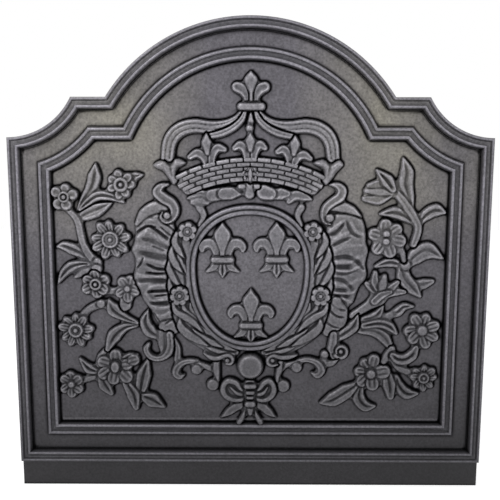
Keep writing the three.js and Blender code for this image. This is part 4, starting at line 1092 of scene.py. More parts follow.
carve("left_spray_middle",
      stroke([(-212, 233), (-205, 239), (-196, 243), (-186, 245)], [10, 10, 11, 12], 5.2),
      veined_leaf([(-144, 218), (-160, 215), (-174, 204), (-183, 186)], [6, 12, 19, 8]),
      veined_leaf([(-144, 221), (-160, 228), (-174, 238), (-180, 251)], [6, 11, 19, 4]),
      ball(-190, 245.5, 6.6, 6.4),
      flower(-223, 211, 24.0, 9, 90, 0.32, 0.18, 8.6, 0.1), web=2.6)
carve("left_spray_bottom",
      stroke([(-216, 144), (-203, 148), (-188, 152)], [8, 9, 10], 5.0),
      stroke([(-183, 187), (-193, 175), (-195, 162)], [8, 10, 10], 5.4),
      leaf([(-197, 156), (-208, 160), (-219, 173)], [8, 15, 5], 6.0),
      stroke([(-154, 128), (-147, 129), (-140, 125)], [10, 10, 10], 4.6),
      veined_leaf([(-142, 126), (-140, 138), (-137, 152), (-131, 173)], [10, 18, 20, 4], 6.6),
      veined_leaf([(-139, 123), (-127, 118), (-111, 108.5)], [10, 21, 4], 6.6),
      veined_leaf([(-160, 141), (-151, 124), (-148, 108)], [12, 19, 9], 6.6),
      veined_leaf([(-192, 148), (-188, 138), (-180, 127)], [12, 18, 8], 6.2),
      leaf([(-164, 172), (-155, 176), (-145, 178.5)], [11, 12, 5], 6.6),
      cluster(-173, 163, ((-188, 169, 9.2), (-188, 154, 9.2), (-176, 148, 9.4), (-160, 150.5, 9.8),
                          (-173, 177.5, 9.2), (-159, 166, 8.6), (-150, 172, 8.6))),
      petal(-173.5, 163, 9, 6.6, 90, 9.0, bevelled, 1.6),
      flower(-231, 139, 18.2, 6, 90, 0.0, 0.3, 8.2), web=2.6)
print("carved:", len(CARVED))

# %% Sprays on the right
carve("right_spray_top",
      stroke([(200, 372), (197, 384), (193, 400), (194, 413), (189, 430)], [9, 15, 20, 18, 4], 6.4,
             leafy),
      leaf([(211, 350), (221, 361), (232, 366), (243, 363)], [8, 16, 17, 5]),
      leaf([(205, 352), (193, 359), (180, 363), (162, 361)], [10, 16, 16, 4]),
      stroke([(180, 389), (189, 379), (197, 368), (205, 356), (210, 346), (209, 335), (205, 323)],
             [10, 12, 13, 12, 11, 11, 10], 6.4, reeded(2)),
      stroke([(175, 388), (163, 389), (154, 390)], [12, 26, 22], 5.0, flat),
      stroke([(174, 387), (160, 379.5), (142, 380)], [12, 15, 8], 6.4, cupped, 1.2),
      stroke([(176, 391), (163, 398), (148, 396)], [11, 14, 9], 6.6, cupped, 1.2),
      stroke([(176, 389), (160, 388.5), (144, 390)], [11, 12, 8], 7.0, rounded, 1.2),
      leaf([(177, 392), (170, 402), (157, 415)], [11, 18, 5], 7.4, 1.2))
carve("right_flower_upper",
      stroke([(184, 322), (192, 312), (194, 302)], [9, 8, 8], 5.0),
      ball(171, 331, 13, 4.4),
      cluster(170.5, 331, ((169.5, 346.5, 9), (182.5, 341, 8.6), (187, 327.5, 9.2),
                           (175.5, 314.5, 9.4), (160.5, 318, 8.8), (156, 335.5, 8.8))),
      ball(170.5, 336, 5.8, 8.6, 1.2), ball(170.5, 326.5, 5.6, 8.4, 1.2))
carve("right_leaves_middle",
      leaf([(192, 296), (176, 300), (158, 294.5)], [8, 14, 5], 6.2),
      stroke([(206, 270), (219, 272), (231, 275.5)], [11, 15, 7], 5.4, leafy),
      veined_leaf([(193, 297), (194, 282), (205, 268), (216, 256)], [9, 19, 18, 5]),
      veined_leaf([(199, 297), (209, 308), (223, 315), (243, 305)], [10, 22, 23, 4], 6.6),
      ball(196, 296, 7.4, 7.4))
carve("right_flower_open",
      stroke([(172, 262), (163, 254), (152, 245), (130, 231)], [18, 22, 13, 10], 5.6),
      stroke([(163, 260), (153, 268), (147, 273)], [10, 11, 7], 6.4, cupped),
      stroke([(172, 258), (186, 262), (196, 262)], [10, 11, 7], 6.4, cupped),
      stroke([(170, 261), (180, 268), (187, 274.5)], [10, 11, 7], 6.8, cupped),
      stroke([(165, 262), (158, 275), (158, 287)], [10, 12, 7], 6.8, cupped),
      stroke([(167, 260), (168, 272), (170, 282)], [10, 13, 8], 7.4, rounded, 1.4),
      stroke([(178, 262), (167, 258), (158, 250)], [7, 12, 12], 7.4, cupped, 1.2))
carve("right_leaves_lower",
      stroke([(136, 217), (158, 222)], [15, 15], 4.6, flat),
      leaf([(176, 230), (188, 236), (196, 243), (208, 243)], [8, 14, 11, 4], 6.2),
      stroke([(160, 225), (170, 227), (180, 232)], [10, 10, 10], 4.8),
      leaf([(145, 226), (160, 230), (169, 243)], [10, 15, 5], 6.2),
      veined_leaf([(140, 212), (160, 210), (172, 202), (181, 188)], [10, 15, 16, 8], 6.2),
      leaf([(145, 218), (165, 221), (178, 217), (187, 208)], [10, 13, 14, 6], 6.8))
carve("right_flower_outer",
      stroke([(184, 174), (192, 162), (208, 155)], [10, 10, 10], 5.0),
      stroke([(182, 187), (177, 179), (172, 171)], [11, 12, 10], 5.6),
      stroke([(183, 179), (190, 174), (199, 173.5), (208, 179), (213, 189)], [10, 15, 16, 16, 9],
             6.4, leafy),
      flower(224, 149, 19.2, 8, 90, 0.3, 0.16, 8.2, 0.1),
      flower(220, 212, 25.0, 7, 75, 0.0, 0.31, 8.8), web=2.6)
carve("right_spray_bottom",
      leaf([(189, 150), (193, 138), (203, 128), (217, 128)], [8, 15, 17, 5], 6.2),
      veined_leaf([(177, 152), (180, 140), (182, 124)], [14, 19, 11], 6.2),
      veined_leaf([(143, 138), (141, 122), (150, 110.5), (162, 110.5)], [10, 18, 16, 5]),
      veined_leaf([(139, 141), (124, 130), (108, 120), (91, 114.5)], [8, 21, 21, 4], 6.6),
      ball(157, 155, 14, 4.4),
      cluster(157, 154, ((148, 168, 7.6), (141.5, 157, 7.8), (145.5, 145, 9), (158, 141, 9.6),
                         (171, 157, 10.4), (159.5, 172, 8.8))),
      ball(156, 154, 7.0, 8.8, 1.6), web=2.6)
print("carved:", len(CARVED))

# %% [markdown]
# ## Ornaments cut each other
# Where two ornaments cross, the front one is cut free with a groove and the one behind goes under
# it. The list runs from the front to the back. A light blur stands for the soft edges of a sand
# casting, and a seeded waviness for hand work.

# %% Cut the ornaments free of each other
UNDER, GROOVE = 1.5, 4.0  # mm that a form goes under the one before it, and the groove beside it
FRONT_TO_BACK = (
    "round_boss crown_finial crown_fleuron_centre crown_fleuron_left crown_fleuron_right "
    "crown_fleuron_end_left crown_fleuron_end_right crown_circlet crown_inner_arch_left "
    "crown_inner_arch_right crown_arch_left crown_arch_right crown_lining_left crown_lining_right "
    "fleur_de_lis_left fleur_de_lis_right fleur_de_lis_bottom garland_lower_left "
    "garland_lower_right garland_upper_left garland_upper_right pendant_bow lower_scroll_left "
    "lower_scroll_right mantle_scroll_left mantle_scroll_right mantle_left mantle_right "
    "left_flower_middle left_flower_pair left_flower_top left_spray_top left_spray_middle "
    "left_spray_bottom right_flower_upper right_flower_open right_flower_outer "
    "right_leaves_lower right_spray_top right_leaves_middle right_spray_bottom").split()
HAND = np.random.default_rng(7)
front = np.full((CELLS, CELLS), BURIED)
for node in FRONT_TO_BACK:
    bed = CARVED[node]
    near = blurred(np.where(front > -0.5, 1.0, 0.0), 0.9)
    bed = np.where(front > -0.5, np.minimum(bed, front - UNDER), bed - GROOVE * near)
    tremble = blurred(HAND.normal(size=bed.shape), 2.4) * 1.4
    hand = tremble + blurred(HAND.normal(size=bed.shape), 6.0) * 3.0
    bed = blurred(np.maximum(bed, BURIED), 0.45) + np.where(bed > 0, hand, 0)
    CARVED[node] = np.maximum(bed, BURIED)
    front = np.maximum(front, CARVED[node])
CARVING = front
print("highest carving:", round(float(CARVING.max()), 2), "mm")

# %% [markdown]
# ## Where the iron is rubbed and highlit, and where soot and painted shade sit
# The whole relief on one bed, mouldings included, tells this. A place that stands above the mean
# height round it gets rubbed and a painted highlight. A place that lies below it gets soot and
# painted shade, most of all at the feet of the mouldings. Both go onto the pieces as point
# attributes.

# %% The circlet's bars, for the map of the relief
COURSES, BARS, BAR_PITCH, BAR_LENGTH, BAR_WIDTH = 5, 15, 17.0, 15.8, 5.5
BAR_HEIGHT, BAR_FOOT = 2.7, 4.0
TOP_ARC, FOOT_ARC = (232.0, 199.0, 95.0), (219.0, 182.6, 79.0)  # centre, radius, half the span


def bars_on_bed():
    """The bars' heights on the bed, laid by the same rule as the node tree uses."""
    heights = np.zeros((CELLS, CELLS))
    for course in range(COURSES):
        centre, radius, limit = (a + (b - a) * (course + 0.5) / COURSES
                                 for a, b in zip(TOP_ARC, FOOT_ARC))
        for number in range(BARS):
            spot = (number - (BARS - 1) / 2 + 0.5 * (course % 2)) * BAR_PITCH
            if abs(spot) > limit:
                continue
            end = limit - BAR_LENGTH / 4
            x = min(max(spot, -end), end)
            length = BAR_LENGTH - min(abs(spot - x), BAR_LENGTH / 2)
            z, tilt = centre + math.sqrt(radius ** 2 - x ** 2), math.asin(x / radius)
            place, wx, wz = window([(x, z)], 10)
            along = (wx - x) * math.cos(tilt) - (wz - z) * math.sin(tilt)
            over = (wx - x) * math.sin(tilt) + (wz - z) * math.cos(tilt)
            inside = (np.abs(along) < length / 2) & (np.abs(over) < BAR_WIDTH / 2)
            bar = BAR_FOOT + BAR_HEIGHT * np.sqrt(np.maximum(1 - (over / BAR_WIDTH * 2) ** 2, 0))
            heights[place] = np.maximum(heights[place], np.where(inside, bar, 0))
    return heights


print("bars reach", round(float(bars_on_bed().max()), 1), "mm")

# %% The whole relief on one bed
gx, gz = np.meshgrid(LEFT + STEP * np.arange(CELLS), FOOT + STEP * np.arange(CELLS))
inset = inset_of(gx, gz)


def profile_heights(share, profile, relief):
    xs, ys = np.array([p for p in profile if p[1] >= 0]).T
    inside = (share > 0) & (share < 1)
    return np.where(inside, np.interp(share, xs, ys) * relief, 0.0)


FILLET_RISE, FILLET_AT, FILLET_HALF_LENGTH = 0.9, 91.4, 245


def fillet(x, z):
    """A thin raised line on the ground, just above the bottom moulding."""
    return FILLET_RISE * np.exp(-((z - FILLET_AT) / 1.2) ** 2) * (np.abs(x) < FILLET_HALF_LENGTH)


turned = np.hypot(gx / (OVAL_HALF_WIDTH + RIM_WIDTH / 2),
                  (gz - OVAL_WIDEST) / np.where(gz > OVAL_WIDEST, OVAL_ABOVE, OVAL_BELOW))
oval_edge = np.full(gx.shape, 1e9)
for px, pz in oval_rail(RIM_WIDTH / 2, 384):
    place, wx, wz = window([(px, pz)], 9.0)
    oval_edge[place] = np.minimum(oval_edge[place], np.hypot(wx - px, wz - pz))
across_rim = 0.5 + np.where(turned < 1, -1, 1) * oval_edge / RIM_WIDTH
RELIEF = np.maximum.reduce([
    fillet(gx, gz), CARVING, bars_on_bed(),
    profile_heights(inset / BAND_INSET, OUTER_PROFILE, OUTER_RELIEF),
    profile_heights((inset - INNER_INSET) / (FIELD_INSET - INNER_INSET), INNER_PROFILE,
                    INNER_RELIEF),
    profile_heights(across_rim, RIM_PROFILE, RIM_RELIEF)])
RELIEF[inset < -STRIP_TOP] = 0.0
print("highest place:", round(float(RELIEF.max()), 2), "mm")

# %% Wear with painted highlight, and soot with painted shade, worked out from the relief
MEAN_OVER = 1.75  # mm, the blur that gives the mean height round a place
# Places above the mean height round them get wear and a painted highlight.
WEAR_AND_HIGHLIGHT = np.clip((RELIEF - blurred(RELIEF, 2.2)) / 1.5, 0, 1)
WEAR_AND_HIGHLIGHT = np.maximum(WEAR_AND_HIGHLIGHT, np.where(turned < 1, 0.27, 0.0))  # everything inside the shield is made lighter
around = blurred(RELIEF, MEAN_OVER)
drifted = np.roll(around, (1, 1), axis=(0, 1))  # painted shade lies thicker up and to the right
hollow_depth = np.where(inset > FIELD_INSET, drifted, around) - RELIEF
# Places below the mean height round them get soot and painted shade.
SOOT_AND_SHADE = np.clip((hollow_depth - 0.2) / 0.7, 0, 1)
# Painted shade at the feet of the mouldings.
inner_feet = (np.abs(inset - 16.5) < 3.5) | (np.abs(inset - 53.5) < 3.5)
SOOT_AND_SHADE = np.maximum(SOOT_AND_SHADE, inner_feet * np.clip((blurred(RELIEF, 2.4) - RELIEF - 0.4) / 0.6, 0, 1))
SOOT_AND_SHADE *= 1 - 0.5 * step_between(0.8, 2.6, RELIEF)  # less soot and painted shade on high parts of the carving
# A line of painted shade where the inner moulding rises from the band, fainter at the bottom.
outer_foot = np.exp(-((inset - INNER_INSET) / 1.1) ** 2)
SOOT_AND_SHADE = np.maximum(SOOT_AND_SHADE, np.where(gz > 100, 0.9, 0.5) * outer_foot)
# The fillet gets a painted highlight along it, and no soot or painted shade.
on_fillet = fillet(gx, gz) / FILLET_RISE
WEAR_AND_HIGHLIGHT, SOOT_AND_SHADE = np.maximum(WEAR_AND_HIGHLIGHT, 1.4 * on_fillet), SOOT_AND_SHADE * (1 - on_fillet)
rim = inset < 1.5  # the plate's edge and back: no step of the map may show there as a streak
WEAR_AND_HIGHLIGHT[rim], SOOT_AND_SHADE[rim] = 0.15, 0.0


def put_wear_soot_and_painted_light(piece):
    """Puts wear with painted highlight, and soot with painted shade, onto the points of a piece."""
    mesh = piece.data
    places = np.empty(len(mesh.vertices) * 3)
    mesh.vertices.foreach_get("co", places)
    places = places.reshape(-1, 3) * 1000
    column = np.clip((places[:, 0] - LEFT) / STEP, 0, CELLS - 1.001)
    row = np.clip((places[:, 2] - FOOT) / STEP, 0, CELLS - 1.001)
    c, r = column.astype(int), row.astype(int)
    fc, fr = column - c, row - r
    for name, grid in (("wear_and_highlight", WEAR_AND_HIGHLIGHT), ("soot_and_shade", SOOT_AND_SHADE)):
        value = ((grid[r, c] * (1 - fc) + grid[r, c + 1] * fc) * (1 - fr)
                 + (grid[r + 1, c] * (1 - fc) + grid[r + 1, c + 1] * fc) * fr)
        mesh.attributes.new(name, "FLOAT", "POINT").data.foreach_set(
            "value", value.astype(np.float32))


for piece in (outer_moulding, inner_moulding, flat_band, shield_rim):
    put_wear_soot_and_painted_light(piece)
print("mean soot:", round(float(SOOT_AND_SHADE.mean()), 3), "mean wear:", round(float(WEAR_AND_HIGHLIGHT.mean()), 3))

# %% [markdown]
# ## From the bed to closed meshes
# Each ornament becomes a mesh: its top follows the bed, a flat underside lies inside the plate, and
# walls join the two round every edge. The walls start from the outline of the cells that are
# filled, so the mesh closes by itself.

# %% Lift an ornament off the bed
def lift_off(name, solid, heights, x, z, floor, material):
    """A closed mesh on the solid points of a grid: the heights on top, and a flat floor."""
    filled = solid[:-1, :-1] & solid[1:, :-1] & solid[:-1, 1:] & solid[1:, 1:]
    # Where two cells touch at one corner only, a third one is filled: no edge gets four faces.
    while True:
        a, b, c, d = filled[:-1, :-1], filled[:-1, 1:], filled[1:, :-1], filled[1:, 1:]
        rising, falling = a & d & ~b & ~c, b & c & ~a & ~d
        if not (rising.any() or falling.any()):
            break
        filled[:-1, 1:] |= rising
        filled[:-1, :-1] |= falling
    i, j = np.nonzero(filled)
    wide = solid.shape[1]
    corner = i * wide + j
    corners = np.stack([corner, corner + 1, corner + wide + 1, corner + wide], 1)
    used, number = np.unique(corners, return_inverse=True)
    top = number.reshape(-1, 4)
    count = len(used)
    framed = np.pad(filled, 1)
    walls = []
    for k, (di, dj) in enumerate(((-1, 0), (0, 1), (1, 0), (0, -1))):
        bare = ~framed[i + 1 + di, j + 1 + dj]
        walls.append(np.stack([top[bare, (k + 1) % 4], top[bare, k]], 1))
    walls = np.concatenate(walls)
    sides = np.concatenate([walls, walls[:, ::-1] + count], 1)
    faces = np.concatenate([top, top[:, ::-1] + count, sides])
    ux, uz, uh = x.ravel()[used], z.ravel()[used], heights.ravel()[used]
    points = np.concatenate([metres(ux, uz, uh), metres(ux, uz, floor)])
    mesh = bpy.data.meshes.new(name)
    mesh.vertices.add(len(points))
    mesh.vertices.foreach_set("co", points.ravel())
    mesh.loops.add(faces.size)
    mesh.loops.foreach_set("vertex_index", faces.ravel().astype(np.int32))
    mesh.polygons.add(len(faces))
    mesh.polygons.foreach_set("loop_start", np.arange(0, faces.size, 4, dtype=np.int32))
    mesh.update(calc_edges=True)
    mesh.validate()
    mesh.shade_smooth()
    mesh.set_sharp_from_angle(angle=math.radians(75))
    mesh.materials.append(material)
    piece = bpy.data.objects.new(name, mesh)
    bpy.context.scene.collection.objects.link(piece)
    put_wear_soot_and_painted_light(piece)
    return piece


total = 0
for node in FRONT_TO_BACK:
    bed = CARVED[node]
    rows, columns = (np.nonzero((bed > BURIED + 0.1).any(axis=a))[0] for a in (1, 0))
    part = (slice(rows[0] - 1, rows[-1] + 2), slice(columns[0] - 1, columns[-1] + 2))
    piece = lift_off("cast_" + node, bed[part] > BURIED + 0.1, bed[part], gx[part], gz[part],
                     BURIED - 0.2, RELIEF_IRON)
    ride(piece, "relief_iron", node)
    total += len(piece.data.polygons)
print("carved pieces:", len(FRONT_TO_BACK), "faces:", total)

# %% [markdown]
# ## The bars of the circlet
# The crown's circlet is covered with little bars in five rows, staggered like brickwork. A grid of
# points has one point for each bar. The tree moves each point onto its arc, turns a bar to lie
# along it, and shifts every second row by half a bar.

# %% One bar, and the tree that lays them in courses
def half_round_bar():
    """A bar one unit long, wide and high, with a rounded top and rounded ends."""
    shape = bmesh.new()
    sections = [(-0.5, 0.72), (-0.47, 0.92), (-0.4, 1.0), (0.4, 1.0), (0.47, 0.92), (0.5, 0.72)]
    across_bar = [(-0.5, 0.0), (-0.5, 0.45), (-0.36, 0.82), (0.0, 1.0), (0.36, 0.82), (0.5, 0.45),
                  (0.5, 0.0)]
    rings = [[shape.verts.new((x, -h * fat if h else 0.0, z * fat)) for z, h in across_bar]
             for x, fat in sections]
    for a, b in zip(rings, rings[1:]):
        for k in range(len(across_bar)):
            n = (k + 1) % len(across_bar)
            shape.faces.new((a[k], a[n], b[n], b[k]))
    shape.faces.new(rings[0][::-1])
    shape.faces.new(rings[-1])
    bmesh.ops.recalc_face_normals(shape, faces=shape.faces)
    mesh = bpy.data.meshes.new("circlet_bar")
    shape.to_mesh(mesh)
    shape.free()
    bar = bpy.data.objects.new("circlet_bar", mesh)
    bpy.context.scene.collection.objects.link(bar)
    return bar


def bar_course_tree():
    tree = bpy.data.node_groups.new("bars_in_courses", "GeometryNodeTree")
    given = named_inputs(tree, {
        "Geometry": "Geometry", "Bar": "Object", "Courses": "Int", "Bars": "Int", "Pitch": "Float",
        "Length": "Float", "Width": "Float", "Height": "Float", "Top Radius": "Float",
        "Top Centre": "Float", "Foot Radius": "Float", "Foot Centre": "Float",
        "Half Top": "Float", "Half Foot": "Float", "Face": "Float", "Iron": "Material"})
    sheet = add_node(tree, "GeometryNodeMeshGrid", {
        "Vertices X": given["Courses"], "Vertices Y": given["Bars"]}).outputs["Mesh"]

    def worked(operation, first, second=0.0):
        return maths(tree, operation, first, second)

    def between(start, end):
        return add_node(tree, "ShaderNodeMix", {0: share, 2: start, 3: end}).outputs[0]

    index = add_node(tree, "GeometryNodeInputIndex").outputs[0]
    course = worked("FLOOR", worked("DIVIDE", index, given["Bars"]))
    number = worked("MODULO", index, given["Bars"])
    share = worked("DIVIDE", worked("ADD", course, 0.5), given["Courses"])
    stagger = worked("MULTIPLY", worked("MODULO", course, 2.0), 0.5)
    middle = worked("DIVIDE", worked("SUBTRACT", given["Bars"], 1.0), 2.0)
    from_middle = worked("ADD", worked("SUBTRACT", number, middle), stagger)
    spot = worked("MULTIPLY", from_middle, given["Pitch"])
    radius = between(given["Top Radius"], given["Foot Radius"])
    centre = between(given["Top Centre"], given["Foot Centre"])
    limit = between(given["Half Top"], given["Half Foot"])
    end = worked("SUBTRACT", limit, worked("MULTIPLY", given["Length"], 0.25))
    x = worked("MINIMUM", worked("MAXIMUM", spot, worked("MULTIPLY", end, -1.0)), end)
    cut_off = worked("MINIMUM", worked("ABSOLUTE", worked("SUBTRACT", spot, x)),
                     worked("MULTIPLY", given["Length"], 0.5))
    squeezed = worked("SUBTRACT", 1.0, worked(
        "MULTIPLY", cut_off, worked("DIVIDE", 1.0, given["Length"])))
    in_reach = add_node(tree, "FunctionNodeCompare", {0: worked("ABSOLUTE", spot), 1: limit},
                        data_type="FLOAT", operation="LESS_EQUAL").outputs[0]
    squared = worked("SUBTRACT", worked("MULTIPLY", radius, radius), worked("MULTIPLY", x, x))
    z = worked("ADD", centre, worked("SQRT", squared))
    place = add_node(tree, "ShaderNodeCombineXYZ", {"X": x, "Y": given["Face"], "Z": z}).outputs[0]
    spread = add_node(tree, "GeometryNodeSetPosition",
                      {"Geometry": sheet, "Position": place}).outputs[0]
    points = add_node(tree, "GeometryNodeMeshToPoints", {"Mesh": spread}).outputs[0]
    tilt = worked("ARCSINE", worked("DIVIDE", x, radius))
    turn = add_node(tree, "ShaderNodeCombineXYZ", {"Y": tilt}).outputs[0]
    turned_way = add_node(tree, "FunctionNodeEulerToRotation", {0: turn}).outputs[0]
    size = add_node(tree, "ShaderNodeCombineXYZ", {
        "X": worked("MULTIPLY", given["Length"], squeezed), "Y": given["Height"],
        "Z": given["Width"]}).outputs[0]
    bar = add_node(tree, "GeometryNodeObjectInfo", {"Object": given["Bar"]}).outputs["Geometry"]
    laid = add_node(tree, "GeometryNodeInstanceOnPoints", {
        "Points": points, "Selection": in_reach, "Instance": bar, "Rotation": turned_way,
        "Scale": size}).outputs[0]
    whole = add_node(tree, "GeometryNodeRealizeInstances", {0: laid}).outputs[0]
    coated = add_node(tree, "GeometryNodeSetMaterial", {
        "Geometry": whole, "Material": given["Iron"]}).outputs[0]
    add_node(tree, "NodeGroupOutput", {"Geometry": coated})
    return tree


bar_shape = half_round_bar()
bar_faces = len(bar_shape.data.polygons)
lengths = {
    "Pitch": BAR_PITCH, "Length": BAR_LENGTH, "Width": BAR_WIDTH, "Height": BAR_HEIGHT,
    "Top Centre": TOP_ARC[0], "Top Radius": TOP_ARC[1], "Half Top": TOP_ARC[2],
    "Foot Centre": FOOT_ARC[0], "Foot Radius": FOOT_ARC[1], "Half Foot": FOOT_ARC[2],
    "Face": FACE_Y - BAR_FOOT}
circlet_bars = made_by_nodes("circlet_bars", bar_course_tree(), {
    "Bar": bar_shape, "Courses": COURSES, "Bars": BARS,
    **{name: length / 1000 for name, length in lengths.items()}}, RELIEF_IRON, 60)
bpy.data.objects.remove(bar_shape)
put_wear_soot_and_painted_light(circlet_bars)
print("bars:", len(circlet_bars.data.polygons) // bar_faces)

# %% [markdown]
# ## Plate and ground
# Behind all this lies the plate: a flat slab with the arched outline, cast in open sand, so its
# back is plain and its edges are a little round. The field of the relief has its own ground, in
# four finely divided sheets, so that soot with painted shade and the gentle waves of the sand bed
# show on it.

# %% The plate
EDGE_ROUND = 0.0012  # metres


def plate_outline():
    rail = frame_rail(0.0)
    keep = [p for p in rail if p[1] > STRIP_TOP + 1]
    right = [p for p in keep if p[0] > 0 or abs(p[0]) < 1e-6]
    left = [p for p in keep if p[0] < 0]
    return [(PLATE_HALF_WIDTH, 0.0), *map(tuple, right), *map(tuple, left),
            (-PLATE_HALF_WIDTH, 0.0)]


def cast_plate():
    shape = bmesh.new()
    loop = [shape.verts.new((x / 1000, FACE_Y / 1000, z / 1000)) for x, z in plate_outline()]
    face = shape.faces.new(loop)
    pushed = bmesh.ops.extrude_face_region(shape, geom=[face])
    back = [v for v in pushed["geom"] if isinstance(v, bmesh.types.BMVert)]
    bmesh.ops.translate(shape, verts=back, vec=(0, (BACK_Y - FACE_Y) / 1000, 0))
    bmesh.ops.recalc_face_normals(shape, faces=shape.faces)
    rims = [e for e in shape.edges if len(e.link_faces) == 2 and e.calc_face_angle(0) > 1.2
            and abs(e.verts[0].co.y - e.verts[1].co.y) < 1e-6]
    bmesh.ops.bevel(shape, geom=rims, offset=EDGE_ROUND, segments=3, affect="EDGES", profile=0.5)
    mesh = bpy.data.meshes.new("cast_plate")
    shape.to_mesh(mesh)
    shape.free()
    mesh.shade_smooth()
    mesh.set_sharp_from_angle(angle=math.radians(30))
    mesh.materials.append(PLATE_IRON)
    piece = bpy.data.objects.new("cast_plate", mesh)
    bpy.context.scene.collection.objects.link(piece)
    return piece


plate = cast_plate()
put_wear_soot_and_painted_light(plate)
print("plate:", len(plate.data.polygons), "faces")

# %% The ground of the field, in four sheets
GROUND_STEP = 1.2  # mm
GROUND_FOOT, GROUND_HALF_WIDTH = 83.0, 249.0
GROUND_SUNK, WAVE_LIMIT = 0.8, 0.25  # its underside lies this deep in the plate; waves up to this
TUCKED = 3.0  # mm that it goes under the inner moulding
LOWER_ROWS, UPPER_ROWS = 180, 210
SHEETS = (("lower", GROUND_FOOT, LOWER_ROWS),
          ("upper", GROUND_FOOT + LOWER_ROWS * GROUND_STEP, UPPER_ROWS))
WAVES = np.random.default_rng(3)
ripples = blurred(WAVES.normal(size=gx.shape), 5.0) * 1.6
wavy = ripples + blurred(WAVES.normal(size=gx.shape), 14.0) * 5.0


def ground(name, low_x, high_x, low_z, rows):
    x, z = np.meshgrid(np.linspace(low_x, high_x, int((high_x - low_x) / GROUND_STEP) + 1),
                       low_z + GROUND_STEP * np.arange(rows + 1))
    column = ((x - LEFT) / STEP).astype(int)
    row = ((z - FOOT) / STEP).astype(int)
    height = GROUND_RELIEF + np.clip(wavy[row, column], -WAVE_LIMIT, WAVE_LIMIT) + fillet(x, z)
    reaches = inset_of(x, z) > FIELD_INSET - TUCKED
    return lift_off(name, reaches, height, x, z, -GROUND_SUNK, PLATE_IRON)


grounds = [ground(f"field_ground_{level}_{side}", low_x, high_x, low_z, rows)
           for level, low_z, rows in SHEETS
           for side, low_x, high_x in (("left", -GROUND_HALF_WIDTH, 0.0),
                                       ("right", 0.0, GROUND_HALF_WIDTH))]
print("ground faces:", [len(g.data.polygons) for g in grounds])

# %% What each piece stands for
RUNS = "bottom side_right side_left shoulder_right shoulder_left arch_right arch_left".split()
ride(plate, "plate_iron", "back_plate")
for sheet in (*grounds, flat_band):
    ride(sheet, "plate_iron")
ride(outer_moulding, "moulding_iron", *("outer_moulding_" + run_name for run_name in RUNS))
ride(inner_moulding, "moulding_iron", *("inner_moulding_" + run_name for run_name in RUNS))
ride(shield_rim, "moulding_iron", "shield_rim_upper_left", "shield_rim_upper_right",
     "shield_rim_lower_left", "shield_rim_lower_right")
ride(circlet_bars, "relief_iron")

# %% [markdown]
# ## Floor, light and camera
# The plate stands on a pale floor in front of a white ground, as in a catalogue. The light is soft
# and comes from the front and above. The floor keeps the plate's shadow, and rays of the camera
# and of reflections see it white.

# %% Pale floor and white surroundings
def seen_white(tree):
    """1 for the rays that show the white surroundings, 0 for those that only carry light."""
    path = add_node(tree, "ShaderNodeLightPath").outputs
    direct = add_node(tree, "ShaderNodeMath", {0: path["Is Camera Ray"], 1: path["Is Glossy Ray"]},
                      operation="MAXIMUM").outputs[0]
    return add_node(tree, "ShaderNodeMath", {0: direct, 1: path["Is Transmission Ray"]},
                    operation="MAXIMUM").outputs[0]


def white_surround():
    world = bpy.data.worlds.new("soft_studio_sky")
    world.use_nodes = True
    tree = world.node_tree
    tree.nodes.clear()
    strength = add_node(tree, "ShaderNodeMix", {0: seen_white(tree), 2: 0.6, 3: 1.0}).outputs[0]
    sky = add_node(tree, "ShaderNodeBackground", {"Color": (1, 1, 1, 1), "Strength": strength})
    add_node(tree, "ShaderNodeOutputWorld", {"Surface": sky.outputs[0]})
    bpy.context.scene.world = world


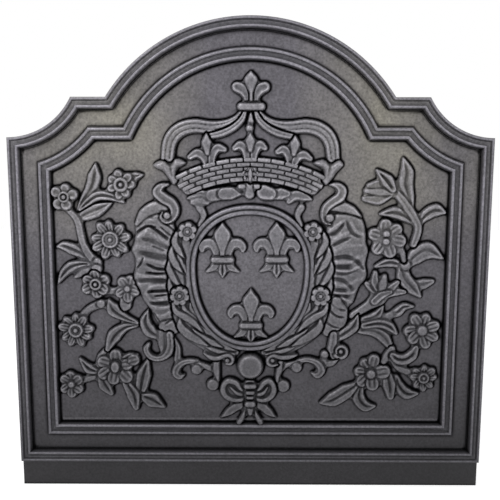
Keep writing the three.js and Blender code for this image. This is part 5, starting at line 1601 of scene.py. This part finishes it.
def pale_floor():
    mesh = bpy.data.meshes.new("studio_floor")
    mesh.from_pydata([(-3, -2.5, 0), (3, -2.5, 0), (3, 3, 0), (-3, 3, 0)], [], [(0, 1, 2, 3)])
    material = bpy.data.materials.new("matt_white_studio_board")
    material.use_nodes = True
    tree = material.node_tree
    tree.nodes.clear()
    grain = add_node(tree, "ShaderNodeTexNoise", {"Scale": 3.0, "Detail": 2.0}).outputs[0]
    tone = ranged(tree, grain, 0.0, 1.0, 0.9, 0.94)
    board = add_node(tree, "ShaderNodeBsdfPrincipled",
                     {"Base Color": tone, "Roughness": 0.9}).outputs[0]
    lit = add_node(tree, "ShaderNodeEmission", {"Strength": 0.45}).outputs[0]
    glow = add_node(tree, "ShaderNodeMixShader", {0: seen_white(tree), 2: lit}).outputs[0]
    both = add_node(tree, "ShaderNodeAddShader", {0: board, 1: glow}).outputs[0]
    add_node(tree, "ShaderNodeOutputMaterial", {"Surface": both})
    mesh.materials.append(material)
    floor = bpy.data.objects.new("studio_floor", mesh)
    bpy.context.scene.collection.objects.link(floor)


white_surround()
pale_floor()


# %% Soft lamps
MIDDLE = (0, 0, 0.3)  # the middle of the plate


def soft_lamp(name, place, target, size, power):
    """A round lamp: its place, what it looks at and its size in metres, its power in watts."""
    light = bpy.data.lights.new(name, "AREA")
    light.shape, light.size, light.energy = "DISK", size, power
    lamp = bpy.data.objects.new(name, light)
    bpy.context.scene.collection.objects.link(lamp)
    lamp.location = place
    way = Vector(target) - Vector(place)
    lamp.rotation_euler = way.to_track_quat("-Z", "Y").to_euler()


soft_lamp("key_from_upper_left", (-1.1, -1.5, 2.1), MIDDLE, 0.9, 26)
soft_lamp("fill_from_upper_right", (1.5, -1.3, 1.4), MIDDLE, 1.2, 9)

# %% Camera at the photograph's angle: nearly square to the front, from a little above
CAMERA_PLACE = (0.0039, -0.8773, 0.4398)
CAMERA_TURN = (81.886, -0.099, 0.280)  # degrees
camera_data = bpy.data.cameras.new("camera")
camera_data.lens, camera_data.sensor_width = 50.4, 36.0
camera = bpy.data.objects.new("camera", camera_data)
camera.location = CAMERA_PLACE
camera.rotation_euler = [math.radians(a) for a in CAMERA_TURN]
bpy.context.scene.collection.objects.link(camera)
bpy.context.scene.camera = camera
bpy.context.scene.view_settings.view_transform = "Standard"

# %% Bring the scene up to date
bpy.context.view_layer.update()
